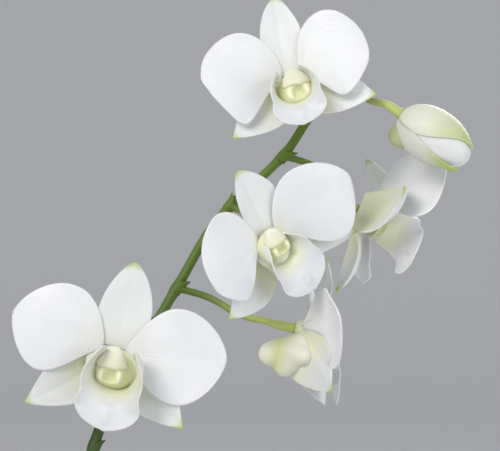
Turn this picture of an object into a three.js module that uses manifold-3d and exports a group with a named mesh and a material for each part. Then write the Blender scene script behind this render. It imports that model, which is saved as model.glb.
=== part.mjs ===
// A white dendrobium orchid in a clay pot: three canes with strap leaves, a new shoot, and one arching
// flower spike that carries five open blooms and a bud.
// Millimetres, +Z up. The origin is the middle of the pot's underside, and the blooms face -Y.
import * as THREE from 'three';
import { mergeVertices } from 'three/addons/utils/BufferGeometryUtils.js';
import Module from 'manifold-3d';

const wasm = await Module();
wasm.setup();

// Driving dimensions
const CLEAR = 0.3; // gap between pieces that touch on the plant
const POT = { height: 104, foot: 41, rim: 59, rimBand: 22, rimProud: 3.5, wall: 5, floor: 6, sides: 36 };
const DRAIN = { count: 5, radius: 4.5, circle: 24 };
const BARK = { top: 90, chips: 26, reach: 42 };
const PETAL_THICK = 0.9;
const LEAF_THICK = 1.1;
const SPIKE_RADIUS = 1.9;
const PEDICEL_RADIUS = 1.3;

const rad = THREE.MathUtils.degToRad;
const vec = (x, y, z) => new THREE.Vector3(x, y, z);
const mix = THREE.MathUtils.lerp;
const smooth = THREE.MathUtils.smoothstep;

// Finishes
const finish = (color, roughness) => new THREE.MeshStandardMaterial({ color, roughness, metalness: 0 });
const CLAY = finish(0xb5653f, 0.9);
const BARK_BROWN = finish(0x5d4030, 0.95);
const CANE_GREEN = finish(0x8a9a4c, 0.6);
const LEAF_GREEN = finish(0x3f6b2c, 0.5);
const SPIKE_GREEN = finish(0x7c9a35, 0.5);
const PETAL_WHITE = finish(0xf3f2f4, 0.55);
const LIP_WHITE = finish(0xeeefe2, 0.55);
const COLUMN_CREAM = finish(0xeeeabc, 0.45);
const BUD_GREEN = finish(0xe3e8bd, 0.5);

// Seeded random numbers, the same on every run
function randomFrom(seed) {
  let state = seed;
  return () => {
    state = (state * 1664525 + 1013904223) % 4294967296;
    return state / 4294967296;
  };
}

// Solids: a closed geometry becomes a solid that can be joined and cut
function solidOf(geometry) {
  const bare = geometry.clone();
  bare.deleteAttribute('normal');
  bare.deleteAttribute('uv');
  const merged = mergeVertices(bare, 1e-4);
  const kept = [];
  for (let i = 0; i < merged.index.count; i += 3) {
    const [a, b, c] = [0, 1, 2].map((k) => merged.index.getX(i + k));
    if (a !== b && b !== c && a !== c) kept.push(a, b, c);
  }
  return new wasm.Manifold(
    new wasm.Mesh({
      numProp: 3,
      vertProperties: new Float32Array(merged.attributes.position.array),
      triVerts: new Uint32Array(kept),
    }),
  );
}

const joined = (solids) => solids.reduce((whole, next) => whole.add(next));

// The largest body of a solid, without the loose scraps that a cut can leave
function mainBody(solid) {
  const bodies = solid.decompose();
  return bodies.reduce((best, next) => (next.volume() > best.volume() ? next : best));
}

function meshOf(name, solid, material) {
  const { numProp, vertProperties, triVerts } = mainBody(solid).getMesh();
  const count = vertProperties.length / numProp;
  const position = new Float32Array(count * 3);
  for (let i = 0; i < count; i++) {
    position.set(vertProperties.subarray(i * numProp, i * numProp + 3), i * 3);
  }
  const geometry = new THREE.BufferGeometry();
  geometry.setAttribute('position', new THREE.BufferAttribute(position, 3));
  geometry.setIndex(new THREE.BufferAttribute(triVerts, 1));
  const mesh = new THREE.Mesh(geometry, material);
  mesh.name = name;
  return mesh;
}

// A round solid turned about Z from a profile of [radius, height] pairs
function turned(profile, sides) {
  const points = profile.map(([r, z]) => new THREE.Vector2(r, z));
  return solidOf(new THREE.LatheGeometry(points, sides).rotateX(Math.PI / 2));
}

// A stalk: a cylinder bent along a curve, with its radius set along the way
function stalk(curve, radiusAt, sides, steps) {
  const geometry = new THREE.CylinderGeometry(1, 1, 1, sides, steps);
  const frames = curve.computeFrenetFrames(steps);
  const position = geometry.attributes.position;
  for (let i = 0; i < position.count; i++) {
    const u = THREE.MathUtils.clamp(position.getY(i) + 0.5, 0, 1);
    const k = Math.round(u * steps);
    const radius = radiusAt(u);
    const at = curve.getPointAt(u);
    at.addScaledVector(frames.binormals[k], position.getX(i) * radius);
    at.addScaledVector(frames.normals[k], position.getZ(i) * radius);
    position.setXYZ(i, at.x, at.y, at.z);
  }
  return solidOf(geometry);
}

// A closed sheet from an open surface: both faces, split alike, and a rim between them
function sheet(surface, thickness) {
  surface.deleteAttribute('uv');
  surface.deleteAttribute('normal');
  const merged = mergeVertices(surface, 1e-4);
  const triangles = [];
  for (let i = 0; i < merged.index.count; i += 3) {
    const [a, b, c] = [0, 1, 2].map((k) => merged.index.getX(i + k));
    if (a !== b && b !== c && a !== c) triangles.push([a, b, c]);
  }
  merged.setIndex(triangles.flat());
  merged.computeVertexNormals();
  const { position, normal } = merged.attributes;
  const count = position.count;
  const points = [];
  for (const side of [0.5, -0.5]) {
    for (let i = 0; i < count; i++) {
      const at = vec().fromBufferAttribute(position, i);
      at.addScaledVector(vec().fromBufferAttribute(normal, i), side * thickness);
      points.push(at.x, at.y, at.z);
    }
  }
  const edges = new Map();
  for (const [a, b, c] of triangles) {
    for (const [from, to] of [[a, b], [b, c], [c, a]]) edges.set(`${from},${to}`, [from, to]);
  }
  const faces = [];
  for (const [a, b, c] of triangles) faces.push(a, b, c, a + count, c + count, b + count);
  for (const [from, to] of edges.values()) {
    if (edges.has(`${to},${from}`)) continue;
    faces.push(to, from, from + count, to, from + count, to + count);
  }
  const closed = new THREE.BufferGeometry();
  closed.setAttribute('position', new THREE.Float32BufferAttribute(points, 3));
  closed.setIndex(faces);
  return closed;
}

// The half width along a petal or leaf, as a share: widest at peak, blunt or pointed at the tip
function outline({ peak, full, point, claw }) {
  const power = Math.log(0.5) / Math.log(peak);
  return (u) => {
    const swell = (1 - Math.abs(2 * u ** power - 1) ** full) ** (1 / point);
    const root = claw * (1 - u) ** 3;
    return root + (1 - root) * swell * (u < 1 ? 1 : 0);
  };
}

// A blade: its spine rises by tilt and bends aside by swing, and its sides curl towards +Z and twist round
// the spine. X runs along it, Y across it, and Z is the face that is seen.
function blade(shape, rows, columns) {
  const { length, start, lift = 0, tilt, halfWidth, curl, twist = () => 0, swing = () => 0 } = shape;
  const surface = new THREE.PlaneGeometry(2, 1, columns, rows);
  const position = surface.attributes.position;
  const fine = 40;
  const spine = [vec(start, 0, lift)];
  const turns = [];
  for (let k = 0; k < fine; k++) {
    const middle = (k + 0.5) / fine;
    const [rise, aside] = [tilt(middle), swing(middle)];
    const turn = new THREE.Matrix4().makeRotationZ(aside).multiply(new THREE.Matrix4().makeRotationY(-rise));
    turns.push(turn);
    spine.push(vec(length / fine, 0, 0).applyMatrix4(turn).add(spine[k]));
  }
  for (let i = 0; i < position.count; i++) {
    const v = -position.getX(i);
    const t = THREE.MathUtils.clamp(position.getY(i) + 0.5, 0, 1);
    const u = mix(t, Math.sin((t * Math.PI) / 2), 0.6);
    const k = Math.min(Math.floor(u * fine), fine - 1);
    const width = t === 1 ? 0 : halfWidth(u, v);
    const bend = curl(u) || 1e-3;
    const section = vec(0, (width / bend) * Math.sin(bend * v), (width / bend) * (1 - Math.cos(bend * v)));
    section.applyAxisAngle(vec(1, 0, 0), twist(u)).applyMatrix4(turns[k]);
    const at = spine[k].clone().lerp(spine[k + 1], u * fine - k).add(section);
    position.setXYZ(i, at.x, at.y, at.z);
  }
  return surface;
}

// A value that eases from one stop to the next: stops are [place, value] pairs in rising order
const easing = (stops) => (u) => {
  const next = Math.max(stops.findIndex(([place]) => place >= u), 1);
  const [[a, from], [b, to]] = [stops[next - 1], stops[next]];
  return mix(from, to, smooth(u, a, b));
};

// Blooms. In a bloom's own frame X is its right, Y its top and Z the way it faces.
const PETAL = { peak: 0.53, full: 1.9, point: 1, claw: 0.08 };
const DORSAL = { peak: 0.4, full: 2, point: 1.3, claw: 0.5 };
const LATERAL = { peak: 0.33, full: 2, point: 1.05, claw: 0.8 };

// Where each bloom sits, how it is turned in degrees, and its size
const BLOOMS = [
  { name: 'bloom_1', at: vec(-1.6, 0, 349), turn: { yaw: -4, pitch: 0, roll: 9.5 }, size: 1 },
  { name: 'bloom_2', at: vec(67.4, 20, 354.7), turn: { yaw: 94, pitch: -11, roll: 5.5 }, size: 0.95 },
  { name: 'bloom_3', at: vec(51.4, 2, 387.4), turn: { yaw: 28, pitch: 0, roll: -35 }, size: 0.9 },
  { name: 'bloom_4', at: vec(88.9, 35, 395.8), turn: { yaw: 110, pitch: -19, roll: 51 }, size: 0.87 },
  { name: 'bloom_5', at: vec(59.4, 5, 442.9), turn: { yaw: 0, pitch: 14, roll: -15.5 }, size: 0.84 },
];

// The five tepals of each bloom: right petal, left petal, top sepal, right and left lower sepal. A row has
// the way it points, in degrees from the bloom's right, its length, the widths of its two halves, how far it
// bends aside, in degrees, and how much further out its first half is widest.
const TEPALS = {
  bloom_1: [
    [7, 36, 16, 17, 0, 0], [162, 34, 18, 17, 14, 0.05], [81, 27.5, 9, 9.5, 9, 0],
    [-41, 31.5, 11, 9, 7, 0], [-134, 31.5, 8.5, 10.5, -15, 0],
  ],
  bloom_2: [
    [6, 33, 16.5, 16.5, 0, 0], [174, 33, 15.5, 15, 0, 0.06], [90, 27, 9, 9, 0, 0],
    [-44, 35.5, 10, 9.5, 6, 0], [-131, 25, 14, 12.5, 0, 0],
  ],
  bloom_3: [
    [8, 36, 15.5, 19.5, -10, -0.06], [173, 29, 12, 20.5, 26, 0.14], [79, 25, 7, 11, 10, 0],
    [-32, 35, 9, 8.5, 3, 0], [-144, 31, 12.5, 8, -23, 0],
  ],
  bloom_4: [
    [2, 29, 16.5, 16, -28, 0], [186, 35, 21, 21, 4, 0.14], [93, 29, 8, 10, 32, 0],
    [-43, 33, 14.5, 9, -4, 0], [-140, 35, 18, 9.5, -11, 0],
  ],
  bloom_5: [
    [11, 29, 21, 15.5, -32, -0.14], [156, 34, 22, 17, 35, 0.04], [97, 31.5, 8, 10, -24, 0],
    [-33, 31.5, 9.5, 10.5, 12, 0], [-143, 32, 9.5, 10, -11, 0],
  ],
};

// How far the petals, the top sepal and the lower sepals stand forward, and how far the sides of the petals
// and of the lower sepals curl forward, all in degrees at the root and at the tip. twist turns the petals'
// lower sides forward, and depth is how far behind the throat the petals and the top sepal take root. The tip
// of the lip leans forward by lean, and press is how far the lip is pressed back towards the seat.
const HABIT = {
  petals: [12, -1], sides: [4, -10], top: [4, 2], lower: [16, 2], folds: [14, 6], twist: 0, depth: 0,
  lean: 0, press: 1,
};
const HABITS = {
  bloom_2: {
    petals: [54, -20], sides: [-14, -26], top: [52, -34], lower: [46, 14], folds: [6, 8], twist: 17, depth: 5,
    lean: 40, press: 0.72,
  },
  bloom_3: { petals: [18, 9] },
  bloom_4: { petals: [21, 23], top: [46, -60], lower: [50, -46], folds: [-20, -50] },
  bloom_5: { petals: [16, 6] },
};

const habitOf = (name) => ({ ...HABIT, ...HABITS[name] });

function tepalShapes(name) {
  const { petals, sides, top, lower, folds, twist, depth } = habitOf(name);
  const petal = { edge: PETAL, lift: 0.4 - depth, tilts: petals, curls: sides };
  const sepal = { edge: LATERAL, lift: -4, tilts: lower, curls: folds };
  const kinds = [
    { ...petal, twists: [-twist, -twist] },
    { ...petal, twists: [twist, twist] },
    { edge: DORSAL, lift: -0.8 - depth, tilts: top, curls: [14, 10], twists: [0, 0] },
    { ...sepal, twists: [34, 0] },
    { ...sepal, twists: [-34, 0] },
  ];
  return kinds.map((kind, i) => {
    const [point, length, first, second, swing, skew] = TEPALS[name][i];
    return { ...kind, point, length, widths: [first, second], swing, skew };
  });
}

function bloomFrame({ at, turn: { yaw, pitch, roll }, size }) {
  const facing = new THREE.Matrix4().makeBasis(vec(1, 0, 0), vec(0, 0, 1), vec(0, -1, 0));
  return new THREE.Matrix4()
    .makeTranslation(at.x, at.y, at.z)
    .multiply(new THREE.Matrix4().makeRotationZ(rad(yaw)))
    .multiply(new THREE.Matrix4().makeRotationX(rad(-pitch)))
    .multiply(new THREE.Matrix4().makeRotationY(rad(roll)))
    .multiply(facing)
    .multiply(new THREE.Matrix4().makeScale(size, size, size));
}

const TEPAL = { root: 4, rows: 5, columns: 4 };

function tepal({ point, length, widths, swing, skew, lift, tilts, curls, twists, edge }) {
  const [first, second] = [skew, -skew].map((shift) => outline({ ...edge, peak: edge.peak + shift }));
  const shape = {
    length,
    lift,
    start: TEPAL.root,
    halfWidth: (u, v) => (v > 0 ? widths[0] * first(u) : widths[1] * second(u)),
    tilt: (u) => rad(mix(...tilts, u)),
    curl: (u) => rad(mix(...curls, u)),
    twist: (u) => rad(mix(...twists, u)),
    swing: (u) => rad(swing * u),
  };
  return sheet(blade(shape, TEPAL.rows, TEPAL.columns).rotateZ(rad(point)), PETAL_THICK);
}

// The seat that the tepals grow from: the throat in front, the neck behind it and the chin below, which ends
// in a foot and a heel
const SEAT = { front: 1.2, rim: -0.4, back: -3.4, radius: 9.2, drop: -3.2, sides: 11 };
const NECK = { radius: 2, back: -8, sides: 7 };
const NECK_PROFILE = [[0, NECK.back], [NECK.radius, NECK.back], [4.4, -5.8], [6.4, -2.6], [5, -1], [0, 0]];
const CHIN = [
  { root: vec(0, -5, -2), tip: vec(0, -12.5, -17.6), radii: [5, 4.6] },
  { root: vec(0, -6, -2), tip: vec(0, -13.4, -12.4), radii: [6, 5] },
  { root: vec(0, -6, -2), tip: vec(0, -17, -9.9), radii: [5.4, 3.8] },
];

function chinLobe({ root, tip, radii }) {
  const blunt = (u) => Math.sqrt(1.06 - u ** 6);
  return stalk(new THREE.LineCurve3(root, tip), (u) => mix(...radii, u) * blunt(u), 7, 4);
}

function seat() {
  const { front, rim, back, radius, drop, sides } = SEAT;
  const disc = turned([[0, back], [5, back], [radius, rim], [radius, front], [0, front]], sides);
  return joined([disc.translate([0, drop, 0]), turned(NECK_PROFILE, NECK.sides), ...CHIN.map(chinLobe)]);
}

// The tepals of a bloom, cut back round the throat so that the lip and the column stand clear
function tepals(bloom) {
  const { front, radius, drop, sides } = SEAT;
  const blades = tepalShapes(bloom.name).map((shape) => solidOf(tepal(shape)));
  const throat = turned([[0, front], [radius + 1, front], [radius + 1, 30], [0, 30]], sides);
  return joined([seat(), ...blades]).subtract(throat.translate([0, drop, 0]));
}

// The lip: a funnel whose sides stand up in a ring round the column, then a broad lobe that hangs
const LIP = {
  length: 19.5,
  start: 12,
  lift: SEAT.front + CLEAR + 0.2,
  halfWidth: easing([[0, 16], [0.22, 20], [0.42, 13], [0.62, 11], [0.86, 8.6], [1, 1.2]]),
  curls: easing([[0, 140], [0.22, 140], [0.45, 62], [0.66, 22], [1, 6]]),
  tilts: easing([[0, 80], [0.2, 70], [0.45, 32], [0.7, 10], [1, -4]]),
};

function lip(bloom) {
  const { lean, press } = habitOf(bloom.name);
  const tilt = (u) => rad(LIP.tilts(u) + lean * u);
  const surface = blade({ ...LIP, tilt, curl: (u) => rad(LIP.curls(u)) }, 9, 8);
  surface.scale(1, 1, press).translate(0, 0, LIP.lift * (1 - press));
  return sheet(surface.rotateZ(rad(-90)), PETAL_THICK);
}

// The column: a body with a rounded cap in front, over the hollow that holds the stigma
function column() {
  const body = new THREE.SphereGeometry(1, 8, 7).scale(5.5, 5.4, 4.5).translate(0, -5.7, 3.2);
  const cap = new THREE.SphereGeometry(1, 8, 5).scale(4.9, 3.4, 3).translate(0, -3.2, 6);
  const hollow = new THREE.SphereGeometry(1, 6, 5).scale(2.8, 2, 3).translate(0, -8.8, 7.6);
  const behind = new THREE.BoxGeometry(40, 40, 20).translate(0, 0, SEAT.front + CLEAR - 10);
  return joined([solidOf(body), solidOf(cap)]).subtract(solidOf(hollow)).subtract(solidOf(behind));
}

// Canes: jointed stems, thickest below the middle, with a ring at every joint
const CANES = [
  { name: 'cane_1', foot: [-8, 8, 84], bend: [-10, 9, 170], top: [-22, 14, 246], radius: 7, joints: 8 },
  { name: 'cane_2', foot: [14, 2, 84], bend: [20, 0, 140], top: [34, -6, 204], radius: 7.4, joints: 7 },
  { name: 'cane_3', foot: [-26, -6, 84], bend: [-34, -12, 125], top: [-48, -22, 174], radius: 7, joints: 6 },
  { name: 'cane_4', foot: [4, -18, 84], bend: [6, -24, 104], top: [10, -32, 128], radius: 5, joints: 3 },
];
const RING = { proud: 0.5, share: 0.4 };

function caneCurve({ foot, bend, top }, sunk = 0) {
  return new THREE.QuadraticBezierCurve3(vec(...foot).setZ(foot[2] - sunk), vec(...bend), vec(...top));
}

const caneRadius = ({ radius, joints }) => (u) => {
  const swell = mix(0.62, 1, Math.sin(Math.PI * Math.min(u * 1.25, 1) ** 0.8));
  const body = radius * swell * mix(1, 0.5, u ** 3);
  const toJoint = Math.abs(((u * joints) % 1) - 0.5);
  return body + (toJoint > RING.share ? RING.proud : 0);
};

const caneSolid = (cane, gap = 0) => stalk(caneCurve(cane, gap), (u) => caneRadius(cane)(u) + gap, 8, 16);

// Leaves: a strap that clasps its cane, climbs and arches over. height is its place up the cane.
const LEAF = outline({ peak: 0.5, full: 2.4, point: 1.25, claw: 0.5 });
const LEAVES = [
  { cane: 0, height: 0.62, side: 200, length: 106, width: 14.5, rise: 62, fall: -8 },
  { cane: 0, height: 0.74, side: 20, length: 98, width: 14, rise: 60, fall: -12 },
  { cane: 0, height: 0.86, side: 215, length: 84, width: 13, rise: 52, fall: -14 },
  { cane: 1, height: 0.5, side: -20, length: 104, width: 15, rise: 62, fall: -14 },
  { cane: 1, height: 0.64, side: 120, length: 86, width: 14, rise: 66, fall: 4 },
  { cane: 1, height: 0.78, side: -35, length: 92, width: 14, rise: 66, fall: -6 },
  { cane: 1, height: 0.91, side: 62, length: 78, width: 12.5, rise: 60, fall: 0 },
  { cane: 2, height: 0.62, side: 250, length: 90, width: 14, rise: 62, fall: -10 },
  { cane: 2, height: 0.88, side: 170, length: 94, width: 13.5, rise: 64, fall: -4 },
  { cane: 3, height: 0.6, side: -60, length: 72, width: 12, rise: 66, fall: 2 },
  { cane: 3, height: 0.86, side: 110, length: 58, width: 9.5, rise: 76, fall: 40 },
];
const CLASP = { share: 0.13, wrap: 105, slack: 0.8 };
const LEAF_FOLD = 16;

function leaf({ cane, height, side, length, width, rise, fall }) {
  const curve = caneCurve(CANES[cane]);
  const up = curve.getTangentAt(height);
  const out = vec(Math.cos(rad(side)), Math.sin(rad(side)), 0);
  out.addScaledVector(up, -out.dot(up)).normalize();
  const radius = caneRadius(CANES[cane])(height) + CLASP.slack + CLEAR + LEAF_THICK / 2;
  const opening = (u, end) => smooth(u, CLASP.share * 0.6, end);
  const shape = {
    length,
    start: radius,
    tilt: (u) => rad(mix(mix(90, rise, smooth(u, CLASP.share, 0.25)), fall, smooth(u, 0.2, 1))),
    halfWidth: (u) => mix(radius * rad(CLASP.wrap), width * LEAF(u), opening(u, 0.3)),
    curl: (u) => rad(mix(CLASP.wrap, LEAF_FOLD, opening(u, 0.32))),
  };
  const place = new THREE.Matrix4().makeBasis(out, vec().crossVectors(up, out), up);
  place.setPosition(curve.getPointAt(height));
  return sheet(blade(shape, 9, 4).applyMatrix4(place), LEAF_THICK);
}

// The spike: the main stem, its bracts and the stalk of each bloom
const SPIKE = [
  [-22.4, 14.2, 246.8], [-20.5, 15, 265], [-15, 18, 292], [-8.2, 22, 320], [1.5, 28, 340], [11.3, 32, 357],
  [20.5, 36, 373], [31, 38, 391], [40, 38, 401], [49.7, 38, 410], [58.4, 38, 419], [66.3, 36, 431],
  [73, 33, 440], [79, 31, 446],
];
const spikeCurve = new THREE.CatmullRomCurve3(SPIKE.map((point) => vec(...point)));

// How far along the spike a height is, as a share of its length
function spikeShare(height) {
  let [low, high] = [0, 1];
  while (high - low > 1e-4) {
    const middle = (low + high) / 2;
    if (spikeCurve.getPointAt(middle).z < height) low = middle;
    else high = middle;
  }
  return low;
}

// The bud, and where its stalk meets it. It is an egg with a blunt end, and its sepals follow the egg.
const BUD = { at: vec(108, 5, 422.3), turn: { yaw: 72, pitch: -34, roll: 0 }, size: 1 };
const BUD_EGG = { half: 13.4, radius: 8.9, blunt: 0.85, sides: 12, rings: 9 };
const BUD_JOINT = vec(0, 0.3, -13.6);
const BUD_NECK = { front: -10, radius: 4.4 };
const BUD_CHIN = { root: vec(0, -2, -4), tip: vec(0, -8.4, -13.6), radii: [6, 4] };

// Each sepal of the bud: the way its middle faces, how far it wraps round the egg to either side along its
// length, how far along the egg it ends, and how far its tip stands off, with all angles in degrees
const BUD_SEPAL = { from: 17, out: 0.2, thick: 1.1 };
const BUD_SEPALS = [
  { middle: 90, wraps: [[0, 100], [0.35, 100], [0.62, 80], [0.9, 30], [1, 3]], to: 156, flare: 0 },
  { middle: -128, wraps: [[0, 40], [0.55, 36], [0.85, 20], [1, 2]], to: 148, flare: 2.2 },
  { middle: -52, wraps: [[0, 36], [0.55, 34], [0.85, 20], [1, 2]], to: 147, flare: 0.4 },
];

// The height where each stalk leaves the spike, the points that it passes, and the flower that it bears
const STALKS = [
  { from: 355, via: [[4, 23, 353]], bears: BLOOMS[0] },
  { from: 369, via: [[30.6, 34, 366], [41.4, 30, 360.2], [51.4, 25, 357.8]], bears: BLOOMS[1] },
  { from: 399, via: [[43, 26, 396]], bears: BLOOMS[2] },
  { from: 417, via: [[67.5, 40, 413.9], [76, 36, 407]], bears: BLOOMS[3] },
  { from: 433, via: [[63, 24, 439]], bears: BLOOMS[4] },
  { from: 443, via: [[81, 26, 440.4], [87.7, 18, 435.6]], bears: { ...BUD, joint: BUD_JOINT } },
];
const BARE_JOINTS = [278, 314];

function pedicel({ from, via, bears }) {
  const frame = bloomFrame(bears);
  const facing = vec(0, 0, 1).transformDirection(frame);
  const joint = (bears.joint ?? vec(0, 0, NECK.back)).clone().applyMatrix4(frame);
  const root = spikeCurve.getPointAt(spikeShare(from));
  const approach = [6, 2, 0].map((back) => joint.clone().addScaledVector(facing, -CLEAR - back));
  const curve = new THREE.CatmullRomCurve3([root, ...via.map((point) => vec(...point)), ...approach]);
  return stalk(curve, (u) => PEDICEL_RADIUS * mix(1, 1.5, smooth(u, 0.75, 1)), 5, 7);
}

function bract(height) {
  const share = spikeShare(height);
  const turn = new THREE.Quaternion().setFromUnitVectors(vec(0, 1, 0), spikeCurve.getTangentAt(share));
  const scale = new THREE.ConeGeometry(2.4, 5, 5).translate(0, 1, 0).applyQuaternion(turn);
  return solidOf(scale.translate(...spikeCurve.getPointAt(share)));
}

function spike() {
  const stem = stalk(spikeCurve, (u) => SPIKE_RADIUS * mix(1.1, 0.8, u), 6, 18);
  const bracts = [...BARE_JOINTS, ...STALKS.map((route) => route.from)].map(bract);
  return joined([stem, ...STALKS.map(pedicel), ...bracts]);
}

// A point on the bud's egg, or further out: way runs from 0 at its back to half a turn at its front
function onEgg(way, around, out = 0) {
  const reach = (BUD_EGG.radius + out) * Math.sin(way) ** BUD_EGG.blunt;
  return vec(reach * Math.cos(around), reach * Math.sin(around), -(BUD_EGG.half + out) * Math.cos(way));
}

function budSepal({ middle, wraps, to, flare }) {
  const surface = new THREE.PlaneGeometry(2, 1, 6, 7);
  const position = surface.attributes.position;
  const wrap = easing(wraps);
  for (let i = 0; i < position.count; i++) {
    const t = THREE.MathUtils.clamp(position.getY(i) + 0.5, 0, 1);
    const around = rad(middle - position.getX(i) * wrap(t));
    const out = BUD_SEPAL.out + flare * smooth(t, 0.8, 1);
    const at = onEgg(rad(mix(BUD_SEPAL.from, to, t)), around, out);
    position.setXYZ(i, at.x, at.y, at.z);
  }
  return solidOf(sheet(surface, BUD_SEPAL.thick));
}

// The bud: white petals folded into an egg, three sepals round it, and the chin under its stalk
function bud() {
  const { sides, rings } = BUD_EGG;
  const profile = Array.from({ length: rings + 1 }, (_, k) => {
    const at = onEgg((k / rings) * Math.PI, 0);
    return [Math.max(at.x, 0), at.z];
  });
  const neckLine = new THREE.LineCurve3(BUD_JOINT, BUD_JOINT.clone().setZ(BUD_NECK.front));
  const neck = stalk(neckLine, (u) => mix(NECK.radius, BUD_NECK.radius, u), 7, 2);
  const whole = [turned(profile, sides), neck, chinLobe(BUD_CHIN), ...BUD_SEPALS.map(budSepal)];
  return joined(whole).transform(bloomFrame(BUD).elements);
}

// The pot: a plain clay pot with a banded rim and drain holes
const potRadius = (z) => mix(POT.foot, POT.rim - POT.rimProud, z / POT.height);
const BAND = POT.height - POT.rimBand;

// The hollow of the pot, drawn in from its wall by a gap
const hollowOf = (gap) => [
  [potRadius(POT.floor) - POT.wall - gap, POT.floor + gap],
  [potRadius(BAND) - POT.wall - gap, BAND],
  [POT.rim - POT.wall - 1 - gap, POT.height],
];

function pot() {
  const { height, foot, rim, rimProud, floor, sides } = POT;
  const outside = [
    [0, 0], [foot - 1, 0], [foot, 1], [potRadius(BAND), BAND], [potRadius(BAND) + rimProud, BAND + 2],
    [rim, height - 1.5], [rim - 1.5, height],
  ];
  const clay = turned([...outside, ...hollowOf(0).reverse(), [0, floor]], sides);
  const holes = Array.from({ length: DRAIN.count }, (_, i) => {
    const angle = (i * 2 * Math.PI) / DRAIN.count;
    const hole = new THREE.CylinderGeometry(DRAIN.radius, DRAIN.radius, floor * 3, 10).rotateX(Math.PI / 2);
    return solidOf(hole.translate(DRAIN.circle * Math.cos(angle), DRAIN.circle * Math.sin(angle), 0));
  });
  return holes.reduce((rest, hole) => rest.subtract(hole), clay);
}

// The bark: a plug that fills the pot, with loose chips heaped on it and a hole for each cane
const GOLDEN_ANGLE = Math.PI * (3 - Math.sqrt(5));

function bark() {
  const random = randomFrom(7);
  const between = (low, high) => mix(low, high, random());
  const hollow = turned([[0, POT.floor + CLEAR], ...hollowOf(CLEAR), [0, POT.height]], POT.sides);
  const plug = new THREE.CylinderGeometry(POT.rim, POT.rim, BARK.top, POT.sides).rotateX(Math.PI / 2);
  const chips = Array.from({ length: BARK.chips }, (_, i) => {
    const angle = i * GOLDEN_ANGLE;
    const far = BARK.reach * Math.sqrt((i + 0.5) / BARK.chips);
    const chip = new THREE.BoxGeometry(between(11, 19), between(8, 12), between(5, 8));
    chip.rotateX(between(-0.5, 0.5)).rotateY(between(-0.5, 0.5)).rotateZ(between(0, Math.PI));
    return solidOf(chip.translate(far * Math.cos(angle), far * Math.sin(angle), BARK.top + between(-1, 3)));
  });
  const heap = joined([solidOf(plug.translate(0, 0, BARK.top / 2)), ...chips]).intersect(hollow);
  return CANES.reduce((rest, cane) => rest.subtract(caneSolid(cane, CLEAR)), heap);
}

const plant = new THREE.Group();
plant.add(meshOf('pot', pot(), CLAY));
plant.add(meshOf('bark', bark(), BARK_BROWN));
CANES.forEach((cane) => plant.add(meshOf(cane.name, caneSolid(cane), CANE_GREEN)));
LEAVES.forEach((spec, i) => plant.add(meshOf(`leaf_${i + 1}`, solidOf(leaf(spec)), LEAF_GREEN)));
plant.add(meshOf('spike', spike(), SPIKE_GREEN));
for (const bloom of BLOOMS) {
  const frame = bloomFrame(bloom).elements;
  plant.add(meshOf(`${bloom.name}_tepals`, tepals(bloom).transform(frame), PETAL_WHITE));
  plant.add(meshOf(`${bloom.name}_lip`, solidOf(lip(bloom)).transform(frame), LIP_WHITE));
  plant.add(meshOf(`${bloom.name}_column`, column().transform(frame), COLUMN_CREAM));
}
plant.add(meshOf('bud', bud(), BUD_GREEN));

export default plant;
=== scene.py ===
# %% [markdown]
# # A white dendrobium in a clay pot
# The plant stands in bark in a clay pot. Three old canes carry strap leaves, a new shoot comes up beside
# them, and one arching spike carries five open blooms and a bud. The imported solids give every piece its
# place, so each piece below is modelled in the same frame and stands where its solid stands.
# Blender works in metres. The plant's own sizes are easier to read in millimetres, so every shape here
# is worked out in millimetres and is scaled once, when its mesh is finished.

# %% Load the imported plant
import math
import random

import bmesh
import bpy
from mathutils import Matrix, Vector


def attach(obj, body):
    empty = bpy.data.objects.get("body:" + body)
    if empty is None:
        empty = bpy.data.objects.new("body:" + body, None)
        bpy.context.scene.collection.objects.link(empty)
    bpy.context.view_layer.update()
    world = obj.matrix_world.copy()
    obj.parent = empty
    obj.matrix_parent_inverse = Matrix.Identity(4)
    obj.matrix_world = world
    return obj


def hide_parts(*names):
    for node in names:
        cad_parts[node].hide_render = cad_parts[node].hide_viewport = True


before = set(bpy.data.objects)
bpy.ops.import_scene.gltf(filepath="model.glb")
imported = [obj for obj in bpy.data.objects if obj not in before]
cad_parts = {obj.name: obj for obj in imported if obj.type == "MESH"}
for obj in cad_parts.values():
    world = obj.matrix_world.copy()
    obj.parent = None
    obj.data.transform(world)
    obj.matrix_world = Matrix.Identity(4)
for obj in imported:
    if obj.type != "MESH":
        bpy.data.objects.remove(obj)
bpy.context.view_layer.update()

print("solids:", len(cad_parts))

# %% [markdown]
# ## Small helpers
# A growing thing has few straight runs. Most of its sizes swell and shrink along the way from the root to
# the tip. `easing` turns a short list of stops into such a smooth run, and the other helpers mix two
# values or step softly from one to the other.

# %% Helpers for smooth runs
MM = 0.001


def mix(low, high, share):
    return low + (high - low) * share


def smooth(value, low, high):
    share = min(max((value - low) / (high - low), 0), 1)
    return share * share * (3 - 2 * share)


def easing(stops):
    def at(place):
        for (a, start), (b, end) in zip(stops, stops[1:]):
            if place <= b:
                return mix(start, end, smooth(place, a, b))
        return stops[-1][1]

    return at


# %% [markdown]
# ## From mesh to piece
# Each shape starts as a bmesh. A finished one gets its normals pointing outwards, smooth shading, its
# materials, and two notes: it rides on the one body, and it stands for its solid, which is hidden.
# Two things are kept on the points of a mesh for the materials. The UV map holds how far across and how
# far along a petal or leaf a point is, so veins can follow the shape. The attribute `spot` holds the
# place in the bloom's own frame, so the green of the throat can fade outwards from its middle.
# Solidify gives a thin sheet its wall, and one level of subdivision rounds a piece off.

# %% Make a piece of the plant
SOFTER_LEVELS = 1


def face_outwards(bm):
    bmesh.ops.recalc_face_normals(bm, faces=bm.faces)


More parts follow.
